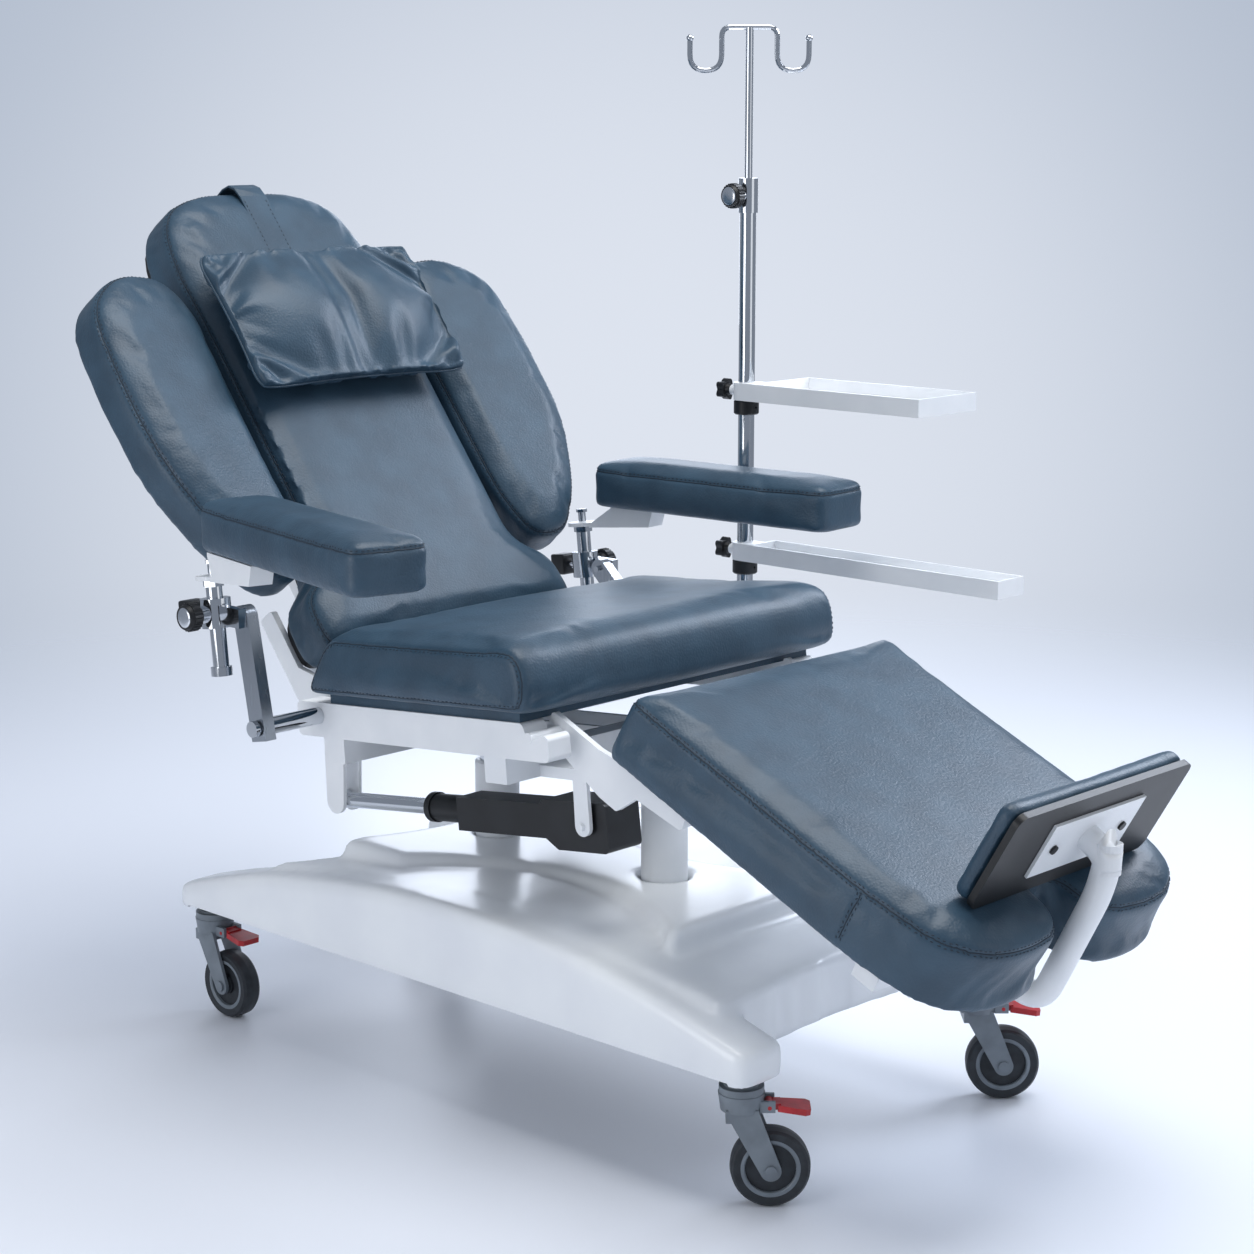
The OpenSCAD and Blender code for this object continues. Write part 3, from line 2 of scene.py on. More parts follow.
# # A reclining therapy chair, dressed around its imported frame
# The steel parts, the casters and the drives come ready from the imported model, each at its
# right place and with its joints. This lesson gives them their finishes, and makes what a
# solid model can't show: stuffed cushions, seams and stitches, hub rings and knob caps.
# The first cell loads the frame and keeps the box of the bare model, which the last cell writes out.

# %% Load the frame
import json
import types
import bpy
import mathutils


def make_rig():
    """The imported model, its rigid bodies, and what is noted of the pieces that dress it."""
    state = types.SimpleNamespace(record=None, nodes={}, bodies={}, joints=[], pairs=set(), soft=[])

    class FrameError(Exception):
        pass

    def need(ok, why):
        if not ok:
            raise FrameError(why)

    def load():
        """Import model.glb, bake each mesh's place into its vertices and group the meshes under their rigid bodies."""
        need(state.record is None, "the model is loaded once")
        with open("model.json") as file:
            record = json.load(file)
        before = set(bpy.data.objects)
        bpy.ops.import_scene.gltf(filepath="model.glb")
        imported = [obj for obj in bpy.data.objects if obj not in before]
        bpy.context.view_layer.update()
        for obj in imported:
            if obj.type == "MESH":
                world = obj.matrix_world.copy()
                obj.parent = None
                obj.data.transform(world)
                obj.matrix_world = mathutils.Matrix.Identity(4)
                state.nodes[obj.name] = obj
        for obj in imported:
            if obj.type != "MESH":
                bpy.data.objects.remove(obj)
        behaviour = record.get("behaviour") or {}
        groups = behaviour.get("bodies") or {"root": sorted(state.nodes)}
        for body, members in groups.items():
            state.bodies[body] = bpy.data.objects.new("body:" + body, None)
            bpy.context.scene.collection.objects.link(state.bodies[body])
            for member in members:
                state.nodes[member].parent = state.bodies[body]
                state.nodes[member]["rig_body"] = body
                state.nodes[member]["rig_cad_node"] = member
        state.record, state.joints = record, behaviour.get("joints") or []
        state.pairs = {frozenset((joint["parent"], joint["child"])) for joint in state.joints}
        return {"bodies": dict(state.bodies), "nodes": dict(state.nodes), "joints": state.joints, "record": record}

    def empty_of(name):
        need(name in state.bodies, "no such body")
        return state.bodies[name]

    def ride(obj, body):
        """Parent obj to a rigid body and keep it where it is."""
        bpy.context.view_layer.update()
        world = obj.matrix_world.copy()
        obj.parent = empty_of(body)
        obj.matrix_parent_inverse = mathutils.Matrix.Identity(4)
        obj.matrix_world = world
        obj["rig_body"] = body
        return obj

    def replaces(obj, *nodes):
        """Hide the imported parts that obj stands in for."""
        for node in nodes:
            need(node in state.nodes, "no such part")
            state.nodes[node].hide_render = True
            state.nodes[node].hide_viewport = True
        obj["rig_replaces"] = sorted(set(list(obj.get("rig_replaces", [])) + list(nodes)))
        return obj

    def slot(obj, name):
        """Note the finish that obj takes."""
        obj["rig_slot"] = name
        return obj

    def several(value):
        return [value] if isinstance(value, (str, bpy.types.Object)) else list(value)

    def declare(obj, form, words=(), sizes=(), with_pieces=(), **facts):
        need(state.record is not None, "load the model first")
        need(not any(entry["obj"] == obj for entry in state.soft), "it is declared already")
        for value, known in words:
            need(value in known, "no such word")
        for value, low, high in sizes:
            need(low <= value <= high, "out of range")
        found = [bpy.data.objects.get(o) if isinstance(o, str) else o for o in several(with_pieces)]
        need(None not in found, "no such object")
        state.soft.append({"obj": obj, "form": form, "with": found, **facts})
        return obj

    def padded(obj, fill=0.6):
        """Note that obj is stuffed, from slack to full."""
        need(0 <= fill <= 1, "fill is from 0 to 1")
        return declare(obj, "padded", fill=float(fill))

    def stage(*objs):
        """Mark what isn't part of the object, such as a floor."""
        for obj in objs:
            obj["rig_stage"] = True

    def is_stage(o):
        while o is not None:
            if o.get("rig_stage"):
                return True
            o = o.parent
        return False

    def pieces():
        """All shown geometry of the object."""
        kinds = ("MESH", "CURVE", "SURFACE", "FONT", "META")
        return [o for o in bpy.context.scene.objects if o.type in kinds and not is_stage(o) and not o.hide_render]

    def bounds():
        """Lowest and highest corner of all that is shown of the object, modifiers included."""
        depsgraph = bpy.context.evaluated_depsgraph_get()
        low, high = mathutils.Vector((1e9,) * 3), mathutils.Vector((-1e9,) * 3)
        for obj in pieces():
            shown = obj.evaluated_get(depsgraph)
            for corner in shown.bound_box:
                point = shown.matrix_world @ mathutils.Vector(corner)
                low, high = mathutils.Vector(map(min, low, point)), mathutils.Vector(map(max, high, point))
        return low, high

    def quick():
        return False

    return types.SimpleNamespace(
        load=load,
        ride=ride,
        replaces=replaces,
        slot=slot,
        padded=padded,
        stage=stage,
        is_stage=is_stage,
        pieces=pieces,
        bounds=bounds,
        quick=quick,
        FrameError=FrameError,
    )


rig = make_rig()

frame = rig.load()
cad_box = [list(corner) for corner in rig.bounds()]

import json
import math

import bpy
import numpy as np
from mathutils import Matrix, Vector
from mathutils.bvhtree import BVHTree
from mathutils.kdtree import KDTree

scene = bpy.context.scene
print("nodes", len(frame["nodes"]), "box", cad_box)

# %% [markdown]
# ## The camera
# The photograph was taken a little above the seat, from the patient's right side and in
# front of the feet. A 75 mm lens on a square frame keeps the flat perspective of a
# catalogue picture. Its place was worked out from the floor contacts of the four wheels.

# %% The camera
lens = bpy.data.cameras.new("studio_lens")
lens.lens = 74.8
lens.sensor_width = 36
camera = bpy.data.objects.new("studio_camera", lens)
camera.location = (-2.5966, -2.43159, 1.322)
camera.rotation_euler = (math.radians(90 - 11.2), 0, math.radians(-46.8))
scene.collection.objects.link(camera)
scene.camera = camera
print("camera", tuple(camera.location))

# %% [markdown]
# ## Helpers for colours and nodes
# Paint charts and pictures give colours as sRGB hex values, but a renderer adds light in
# linear numbers, so one function turns the first into the second. A second one adds a
# shader node: what it reads from other nodes is linked, what is a plain value is set.


# %% Colour and node helpers
def colour(hex_value):
    """An sRGB hex value as linear red, green, blue and alpha."""
    parts = [int(hex_value[i : i + 2], 16) / 255 for i in (1, 3, 5)]
    return tuple(p / 12.92 if p <= 0.04045 else ((p + 0.055) / 1.055) ** 2.4 for p in parts) + (1.0,)


def add(tree, kind, inputs=None, **settings):
    """Adds a node of a kind with its settings, and links or sets its inputs."""
    made = tree.nodes.new(kind)
    for name, value in settings.items():
        setattr(made, name, value)
    for name, value in (inputs or {}).items():
        if isinstance(value, bpy.types.NodeSocket):
            tree.links.new(value, made.inputs[name])
        else:
            made.inputs[name].default_value = value
    return made


def finish(name, **sockets):
    """A new material with one shader, whose constants are set on its own sockets."""
    made = bpy.data.materials.new(name)
    made.use_nodes = True
    tree = made.node_tree
    shader = tree.nodes["Principled BSDF"]
    for socket, value in sockets.items():
        shader.inputs[socket.replace("_", " ")].default_value = value
    place = add(tree, "ShaderNodeTexCoord").outputs["Object"]
    return made, tree, shader, place


# %% [markdown]
# ## The studio
# A pale blue-grey sweep stands behind the chair, with a soft pool of light painted on it. A real one
# is a curved paper roll. Here the floor is a disc that takes the shadows near the chair and
# turns clear further out, so that it melts into the backdrop and no horizon shows.

# %% The floor and the backdrop
# Two tones of a painted pool of light on the backdrop: POOL in its middle, EDGE toward its rim
POOL, EDGE = colour("#e0e6f1"), colour("#b6c0d0")
FLOOR_CLEAR = 1.5  # metres from the middle where the floor starts to turn into the backdrop
FLOOR_FAR = 4.2

bpy.ops.object.select_all(action="DESELECT")
bpy.ops.mesh.primitive_circle_add(vertices=96, radius=12, fill_type="NGON", location=(0, 0, 0))
floor = bpy.context.object
floor.name = "studio_floor"
bpy.ops.object.mode_set(mode="EDIT")
bpy.ops.mesh.select_all(action="SELECT")
bpy.ops.mesh.inset(thickness=7)
bpy.ops.object.mode_set(mode="OBJECT")
paper, tree, shader, place = finish("backdrop_paper", Roughness=0.32, IOR=1.35)
shader.inputs["Base Color"].default_value = colour("#e7ebf3")
away = add(tree, "ShaderNodeVectorMath", {0: place}, operation="LENGTH").outputs["Value"]
fade = add(tree, "ShaderNodeMapRange", {"Value": away, "From Min": FLOOR_CLEAR, "From Max": FLOOR_FAR},
           interpolation_type="SMOOTHSTEP").outputs["Result"]
clear = add(tree, "ShaderNodeBsdfTransparent")
mix = add(tree, "ShaderNodeMixShader", {0: fade, 1: shader.outputs[0], 2: clear.outputs[0]})
tree.links.new(mix.outputs[0], tree.nodes["Material Output"].inputs["Surface"])
floor.data.materials.append(paper)
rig.stage(floor)

world = bpy.data.worlds.new("studio_world")
scene.world = world
world.use_nodes = True
tree = world.node_tree
soft = tree.nodes["Background"]
soft.inputs["Color"].default_value = colour("#dfe6f2")
soft.inputs["Strength"].default_value = 0.58
# The pool of light is centred where the photograph looks, a little below level
POOL_AT = (0.716, 0.671, -0.13)
bearing = add(tree, "ShaderNodeTexCoord").outputs["Generated"]
toward = add(tree, "ShaderNodeVectorMath", {0: bearing, 1: POOL_AT}, operation="DOT_PRODUCT").outputs["Value"]
share = add(tree, "ShaderNodeMapRange", {"Value": toward, "From Min": 0.945, "From Max": 0.998},
            interpolation_type="SMOOTHSTEP").outputs["Result"]
# A painted pool of light: what the camera sees of the backdrop is paler toward POOL_AT and darker toward the edges
tone = add(tree, "ShaderNodeMixRGB", {"Fac": share, "Color1": EDGE, "Color2": POOL}).outputs["Color"]
seen = add(tree, "ShaderNodeBackground", {"Color": tone, "Strength": 1.0})
mirrored = add(tree, "ShaderNodeBackground", {"Color": EDGE, "Strength": 0.55})
rays = add(tree, "ShaderNodeLightPath").outputs
straight = add(tree, "ShaderNodeMath", {0: rays["Is Camera Ray"], 1: rays["Is Transmission Ray"]},
               operation="MAXIMUM")
mix = add(tree, "ShaderNodeMixShader", {0: rays["Is Glossy Ray"], 1: soft.outputs[0], 2: mirrored.outputs[0]})
mix = add(tree, "ShaderNodeMixShader", {0: straight.outputs[0], 1: mix.outputs[0], 2: seen.outputs[0]})
tree.links.new(mix.outputs[0], tree.nodes["World Output"].inputs["Surface"])
scene.view_settings.view_transform = "Standard"
print("floor and world ready")

# %% [markdown]
# ## The lamps
# Leather is drawn by what it mirrors. A large lamp high on the far side lies in the mirror of
# the back and of the leg pad, a second one low behind in that of the seat, so that the tops
# are bright and the near sides stay dark. Weaker lamps open the shadows under the seat.

# %% The lamps
AIM = Vector((0, 0, 0.55))


def soft_lamp(name, place, size, power, tint):
    """A square lamp that looks at the middle of the chair."""
    lamp = bpy.data.lights.new(name, "AREA")
    lamp.shape = "SQUARE"
    lamp.size = size
    lamp.energy = power
    lamp.color = colour(tint)[:3]
    holder = bpy.data.objects.new(name, lamp)
    holder.location = place
    holder.rotation_euler = (AIM - Vector(place)).to_track_quat("-Z", "Y").to_euler()
    scene.collection.objects.link(holder)


soft_lamp("lamp_over", (0.1, -0.5, 3.5), 2.2, 72, "#ffffff")
soft_lamp("lamp_far", (2.5, -0.8, 2.4), 1.3, 56, "#e9f1ff")
soft_lamp("lamp_behind", (2.7, 2.5, 1.5), 1.6, 28, "#e9f1ff")
soft_lamp("lamp_front", (0.9, -3.3, 1.4), 1.8, 7, "#ffffff")
soft_lamp("lamp_left", (-2.9, 0.4, 1.0), 1.4, 17, "#fbfcff")
print("lamps", len([o for o in scene.objects if o.type == "LIGHT"]))

# %% [markdown]
# ## Finishes of the hard parts
# Each finish starts from what the real one is. Powder coat has a faint orange peel, moulded
# covers are smoother and a little glossy, chrome mirrors the room, and a brushed bar draws
# its highlights into lines. A texture's scale is one over the size of its feature in metres.

# %% White powder coat
MM = 0.001


def grain(tree, place, size_mm, height_mm, strength, detail=2.0):
    """A bump from noise whose features are size_mm across."""
    noise = add(tree, "ShaderNodeTexNoise", {"Vector": place, "Scale": 1 / (size_mm * MM), "Detail": detail})
    bump = add(tree, "ShaderNodeBump",
               {"Height": noise.outputs["Fac"], "Strength": strength, "Distance": height_mm * MM})
    return bump.outputs["Normal"]


def mottle(tree, place, size_mm, dark, light):
    """A colour that wanders between two close tones over patches of size_mm."""
    noise = add(tree, "ShaderNodeTexNoise", {"Vector": place, "Scale": 1 / (size_mm * MM), "Detail": 3.0})
    ramp = add(tree, "ShaderNodeValToRGB", {"Fac": noise.outputs["Fac"]})
    ramp.color_ramp.elements[0].position, ramp.color_ramp.elements[1].position = 0.35, 0.65
    ramp.color_ramp.elements[0].color, ramp.color_ramp.elements[1].color = colour(dark), colour(light)
    return ramp.outputs["Color"]


def simple_finish(name, dark, light, patch_mm, peel_mm, peel_height, strength=0.3, **sockets):
    """A painted or moulded finish: a faint mottle and a fine relief."""
    made, tree, shader, place = finish(name, **sockets)
    tree.links.new(mottle(tree, place, patch_mm, dark, light), shader.inputs["Base Color"])
    tree.links.new(grain(tree, place, peel_mm, peel_height, strength), shader.inputs["Normal"])
    return made


# Epoxy powder on steel: satin, with a fine orange peel
powder_coat = simple_finish("white_powder_coat", "#e6e9ec", "#eef0f2", 90, 2.2, 0.05, 0.25, Roughness=0.36)
# Vacuum-formed ABS of the base cover: smooth and a little glossy
moulded_abs = simple_finish("moulded_abs_cover", "#e8ebef", "#f0f3f5", 160, 5.0, 0.04, 0.15, Roughness=0.27,
                            Coat_Weight=0.25, Coat_Roughness=0.12)
# Glass-filled polyamide: black, matt, with a spark-eroded texture
black_polyamide = simple_finish("black_polyamide", "#0d0e10", "#15171a", 40, 1.2, 0.06, 0.35, Roughness=0.42)
# Grey nylon of the caster forks
grey_nylon = simple_finish("grey_nylon", "#6c747c", "#79828a", 30, 1.4, 0.05, 0.3, Roughness=0.38)
# Thermoplastic rubber of the tyres
tyre_rubber = simple_finish("tyre_rubber", "#23272c", "#2d3238", 12, 1.0, 0.05, 0.4, Roughness=0.55)
# Red nylon of the brake pedals
red_nylon = simple_finish("red_nylon", "#a3161c", "#bb2227", 16, 1.2, 0.05, 0.3, Roughness=0.36)
# Painted chassis, seldom seen
dark_paint = simple_finish("dark_chassis_paint", "#3c4146", "#484e54", 60, 1.8, 0.05, 0.3, Roughness=0.5)
print("painted finishes ready")

# %% [markdown]
# ## Metal finishes
# Chrome is a thin bright plate: nearly a mirror, with only the faintest haze. The armrest
# bars are brushed steel, whose fine lines all run one way, so noise is stretched along them.


# %% Chrome and brushed steel
def metal(name, tone, roughness, line_mm, along, stretch=30.0, strength=0.12):
    """A bare metal: noise stretched along one direction stands for its brushing."""
    made, tree, shader, place = finish(name, Metallic=1.0, Roughness=roughness)
    shader.inputs["Base Color"].default_value = colour(tone)
    scale = [1.0, 1.0, 1.0]
    scale[along] = 1 / stretch
    drawn = add(tree, "ShaderNodeMapping", {"Vector": place, "Scale": scale}).outputs["Vector"]
    tree.links.new(grain(tree, drawn, line_mm, 0.02, strength, 1.0), shader.inputs["Normal"])
    rough = add(tree, "ShaderNodeTexNoise", {"Vector": drawn, "Scale": 1 / (line_mm * 6 * MM), "Detail": 2.0})
    spread = add(tree, "ShaderNodeMapRange", {"Value": rough.outputs["Fac"], "To Min": roughness * 0.8,
                                              "To Max": roughness * 1.3})
    tree.links.new(spread.outputs["Result"], shader.inputs["Roughness"])
    return made


chrome = metal("bright_chrome", "#d5d8dc", 0.09, 1.5, 2)
brushed_steel = metal("brushed_steel", "#aeb3b9", 0.24, 0.8, 2, strength=0.3)
turned_aluminium = metal("turned_aluminium", "#d8dbdf", 0.2, 0.8, 0, stretch=1.0, strength=0.2)
print("metals ready")

# %% [markdown]
# ## The upholstery
# The cover is artificial leather: knitted cloth with a skin of PU, pressed with a fine
# pebble. The real pebble is about 1 mm, too fine to show from three metres, so it is drawn
# 3.2 mm wide. Wide, very low waves stand for the foam that is not quite even under it.

# %% Artificial leather
PEBBLE_MM = 3.2
WAVE_MM = 70


def leather(name, dark, light, roughness):
    """Artificial leather: cell pebble, fine creases and slow waves in one relief."""
    made, tree, shader, place = finish(name, Roughness=roughness, IOR=1.5, Coat_Weight=0.10, Coat_Roughness=0.45)
    tree.links.new(mottle(tree, place, 55, dark, light), shader.inputs["Base Color"])
    bend = add(tree, "ShaderNodeTexNoise", {"Vector": place, "Scale": 1 / (9 * MM), "Detail": 2.0})
    shift = add(tree, "ShaderNodeVectorMath", {0: bend.outputs["Color"], "Scale": 2.4 * MM}, operation="SCALE")
    bent = add(tree, "ShaderNodeVectorMath", {0: place, 1: shift.outputs[0]}, operation="ADD").outputs[0]
    cells = add(tree, "ShaderNodeTexVoronoi", {"Vector": bent, "Scale": 1 / (PEBBLE_MM * MM), "Smoothness": 0.6},
                feature="SMOOTH_F1")
    pebble = add(tree, "ShaderNodeBump", {"Height": cells.outputs["Distance"], "Strength": 0.6,
                                          "Distance": 0.5 * MM}, invert=True)
    waves = add(tree, "ShaderNodeTexNoise", {"Vector": place, "Scale": 1 / (WAVE_MM * MM), "Detail": 3.0})
    slow = add(tree, "ShaderNodeBump", {"Height": waves.outputs["Fac"], "Strength": 0.5, "Distance": 2.2 * MM,
                                        "Normal": pebble.outputs["Normal"]})
    tree.links.new(slow.outputs["Normal"], shader.inputs["Normal"])
    return made


hide = leather("blue_grey_artificial_leather", "#2b4355", "#334d60", 0.44)
thread, tree, shader, place = finish("polyester_thread", Roughness=0.6)
shader.inputs["Base Color"].default_value = colour("#22303d")
print("upholstery ready")

# %% [markdown]
# ## Dressing the hard parts
# Every node of the frame keeps its own shape and gets a finish by name.

# %% Finishes by node
CORNERS = ("front_right", "front_left", "rear_right", "rear_left")
FINISHES = {
    "base_cover": moulded_abs, "base_frame": dark_paint, "column_tubes": powder_coat,
    "ram_rear": chrome, "ram_front": chrome, "rail_left": powder_coat, "rail_right": powder_coat,
    "subframe": powder_coat, "back_axle": chrome, "seat_board": hide, "back_frame": powder_coat,
    "back_board": black_polyamide, "back_drive": black_polyamide, "back_drive_rod": chrome,
    "leg_drive": black_polyamide, "leg_drive_rod": chrome, "leg_frame": powder_coat,
    "foot_stem": powder_coat, "foot_panel": black_polyamide, "pole": chrome, "pole_rod": chrome,
    "pole_knob": black_polyamide, "upper_tray": powder_coat, "upper_collar": black_polyamide,
    "upper_knob": black_polyamide, "lower_tray": powder_coat, "lower_collar": black_polyamide,
    "lower_knob": black_polyamide,
}
for corner in CORNERS:
    FINISHES.update({"fork_" + corner: grey_nylon, "wheel_" + corner: tyre_rubber, "pedal_" + corner: red_nylon})
for side in ("right", "left"):
    FINISHES.update({"arm_bar_" + side: brushed_steel, "arm_clamp_" + side: chrome,
                     "arm_knob_" + side: black_polyamide, "arm_post_" + side: chrome,
                     "arm_bracket_" + side: powder_coat})


def dress(node, material):
    """Gives every slot of a frame node the same material."""
    data = frame["nodes"][node].data
    data.materials.clear()
    data.materials.append(material)


for node, material in FINISHES.items():
    dress(node, material)
print("dressed", len(FINISHES), "nodes")

# %% [markdown]
# ## Local frames
# The back, the legrest and the armrests each lean by their own angle. It is easier to think
# of a seam along the back than across a slope, so each cushion gets a local frame: x to the
# patient's left, y up along the pad and z out of its upper face.

# %% Local frames
BASE = Matrix.Translation((-0.0566, 0.04841, 0))


def tip(degrees, axis="X"):
    return Matrix.Rotation(math.radians(degrees), 4, axis)


def move(x, y, z):
    return Matrix.Translation((x, y, z))


SEAT = BASE @ move(0, 0, 0.497) @ tip(-5)
BACK = BASE @ move(0, 0.21381, 0.50841) @ tip(52)
LEG = BASE @ move(0, -0.19662, 0.54432) @ tip(24.5)
print("hinge of the back", tuple(round(v, 4) for v in BACK.translation))

# %% [markdown]
# ## Tools for shaping
# The same few steps come back all the time, so each gets a function: pick one object, apply
# a modifier at once, copy a node's form into a piece of its own, read and move its points.


# %% Shaping helpers
def pick(piece):
    """Makes a piece the only selected object."""
    bpy.ops.object.select_all(action="DESELECT")
    piece.select_set(True)
    bpy.context.view_layer.objects.active = piece


def apply(piece, kind, **settings):
    """Adds a modifier of a kind and applies it at once."""
    pick(piece)
    modifier = piece.modifiers.new("step", kind)
    for name, value in settings.items():
        setattr(modifier, name, value)
    bpy.ops.object.modifier_apply(modifier=modifier.name)


def plain_copy(node, name):
    """A merged copy of a frame node's form, as a piece of its own."""
    piece = bpy.data.objects.new(name, frame["nodes"][node].data.copy())
    scene.collection.objects.link(piece)
    piece.data.materials.clear()
    pick(piece)
    bpy.ops.object.mode_set(mode="EDIT")
    bpy.ops.mesh.select_all(action="SELECT")
    bpy.ops.mesh.remove_doubles(threshold=0.0001)
    bpy.ops.object.mode_set(mode="OBJECT")
    return piece


def points_of(piece):
    """The points of a piece and their normals, as two arrays."""
    places = np.empty(len(piece.data.vertices) * 3, np.float32)
    normals = places.copy()
    piece.data.vertices.foreach_get("co", places)
    piece.data.vertex_normals.foreach_get("vector", normals)
    return places.reshape(-1, 3), normals.reshape(-1, 3)


def put_points(piece, places):
    """Moves the points of a piece to new places."""
    piece.data.vertices.foreach_set("co", places.astype(np.float32).ravel())
    piece.data.update()


def mend_normals(piece):
    """Turns all faces of a piece outwards."""
    pick(piece)
    bpy.ops.object.mode_set(mode="EDIT")
    bpy.ops.mesh.select_all(action="SELECT")
    bpy.ops.mesh.normals_make_consistent(inside=False)
    bpy.ops.object.mode_set(mode="OBJECT")


def place_piece(piece, matrix, material, body, slot):
    """Moves a finished shape to its place and says what carries it."""
    piece.data.transform(matrix)
    piece.data.update()
    piece.data.materials.append(material)
    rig.ride(piece, body)
    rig.slot(piece, slot)
    return piece


def tube_along(name, spots, radius, closed, sides=3):
    """A round tube along points, as a mesh of its own."""
    data = bpy.data.curves.new(name, "CURVE")
    data.dimensions = "3D"
    data.bevel_depth = radius
    data.bevel_resolution = sides
    data.use_fill_caps = not closed
    spline = data.splines.new("POLY")
    spline.points.add(len(spots) - 1)
    for point, spot in zip(spline.points, spots):
        point.co = (*spot, 1.0)
    spline.use_cyclic_u = closed
    piece = bpy.data.objects.new(name, data)
    scene.collection.objects.link(piece)
    pick(piece)
    bpy.ops.object.convert(target="MESH")
    bpy.ops.object.shade_smooth()
    return bpy.context.object


def turned(name, profile, matrix, material, body, slot, steps=36):
    """A turned part: (radius, height) points in millimetres, spun round the z axis of a frame."""
    count = len(profile)
    ring_shaped = profile[0][0] > 0
    edges = [(i, i + 1) for i in range(count - 1)] + ([(count - 1, 0)] if ring_shaped else [])
    data = bpy.data.meshes.new(name)
    data.from_pydata([(r * MM, 0, z * MM) for r, z in profile], edges, [])
    piece = bpy.data.objects.new(name, data)
    scene.collection.objects.link(piece)
    pick(piece)
    bpy.ops.object.mode_set(mode="EDIT")
    bpy.ops.mesh.select_all(action="SELECT")
    bpy.ops.mesh.spin(steps=steps, angle=math.tau, center=(0, 0, 0), axis=(0, 0, 1))
    bpy.ops.mesh.select_all(action="SELECT")
    bpy.ops.mesh.remove_doubles(threshold=0.00002)
    bpy.ops.object.mode_set(mode="OBJECT")
    mend_normals(piece)
    bpy.ops.object.shade_smooth_by_angle(angle=math.radians(35))
    return place_piece(piece, matrix, material, body, slot)


# %% [markdown]
# ## The base cover
# The real cover is one sheet of ABS, drawn hot over a mould, so its beams, its middle and the
# raised plateau flow into one another. A fine net is dropped onto the frame's cover from above,
# closed into a solid, evened out, and its edges are run together. Then the solid is opened
# below and given the wall of the sheet.

# %% The base cover
COVER_LOW, COVER_WALL = 0.163, 0.0035
COVER_BOX = (-0.2905, 0.2905, -0.5555, 0.5495)  # its outline from above, in the base's own frame
NET_MM, EVEN_MM = 3.0, 6.0
FLOW_STEPS = 10  # rounds of smoothing: about as many millimetres of rounding


def net_over(name, limits, start):
    """A flat net over a rectangle of the base's frame at a height."""
    x0, x1, y0, y1 = limits
    columns, rows = round((x1 - x0) / (NET_MM * MM)), round((y1 - y0) / (NET_MM * MM))
    bpy.ops.object.select_all(action="DESELECT")
    bpy.ops.mesh.primitive_grid_add(x_subdivisions=columns, y_subdivisions=rows, size=1)
    piece = bpy.context.object
    piece.name = name
    bpy.ops.object.mode_set(mode="EDIT")
    bpy.ops.mesh.select_all(action="SELECT")
    bpy.ops.transform.resize(value=(x1 - x0, y1 - y0, 1))
    bpy.ops.transform.translate(value=((x0 + x1) / 2, (y0 + y1) / 2, start))
    bpy.ops.object.mode_set(mode="OBJECT")
    piece.data.transform(BASE)
    return piece


def choose_faces(piece, wanted):
    """Selects the faces of a piece whose centre and normal please a test."""
    bpy.ops.object.mode_set(mode="OBJECT")
    size = len(piece.data.polygons)
    centres, normals = np.empty(size * 3, np.float32), np.empty(size * 3, np.float32)
    piece.data.polygons.foreach_get("center", centres)
    piece.data.polygons.foreach_get("normal", normals)
    chosen = wanted(centres.reshape(-1, 3), normals.reshape(-1, 3))
    piece.data.vertices.foreach_set("select", np.zeros(len(piece.data.vertices), bool))
    piece.data.edges.foreach_set("select", np.zeros(len(piece.data.edges), bool))
    piece.data.polygons.foreach_set("select", chosen)
    pick(piece)
    bpy.ops.object.mode_set(mode="EDIT")
    bpy.ops.mesh.select_mode(type="FACE")


cover = net_over("moulded_cover", COVER_BOX, 0.8)
apply(cover, "SHRINKWRAP", target=frame["nodes"]["base_cover"], wrap_method="PROJECT", use_project_z=True,
      use_negative_direction=True, use_positive_direction=False)
missed = {i for i, z in enumerate(points_of(cover)[0][:, 2]) if z > 0.5}
spoilt = np.array([any(v in missed for v in p.vertices) for p in cover.data.polygons])
choose_faces(cover, lambda centres, normals: spoilt)
bpy.ops.mesh.delete(type="FACE")
bpy.ops.mesh.select_all(action="SELECT")
bpy.ops.mesh.extrude_region_move(TRANSFORM_OT_translate={"value": (0, 0, 0)})
bpy.ops.transform.resize(value=(1, 1, 0), center_override=(0, 0, COVER_LOW))
bpy.ops.object.mode_set(mode="OBJECT")
mend_normals(cover)
apply(cover, "REMESH", mode="VOXEL", voxel_size=EVEN_MM * MM)
apply(cover, "SMOOTH", factor=0.5, iterations=FLOW_STEPS)
choose_faces(cover, lambda centres, normals: (normals[:, 2] < -0.5) & (centres[:, 2] < COVER_LOW + 0.02))
bpy.ops.mesh.delete(type="FACE")
bpy.ops.object.mode_set(mode="OBJECT")
apply(cover, "SOLIDIFY", thickness=COVER_WALL, offset=-1)
bpy.ops.object.shade_smooth_by_angle(angle=math.radians(50))
place_piece(cover, Matrix(), moulded_abs, "base", "cover")
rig.replaces(cover, "base_cover")
print("cover", len(cover.data.polygons), "faces")

# %% [markdown]
# ## Turned parts
# Each wheel has a grey ring where the tyre meets its hub. The round clamp knobs have a bright
# aluminium cap pressed into their black grip.

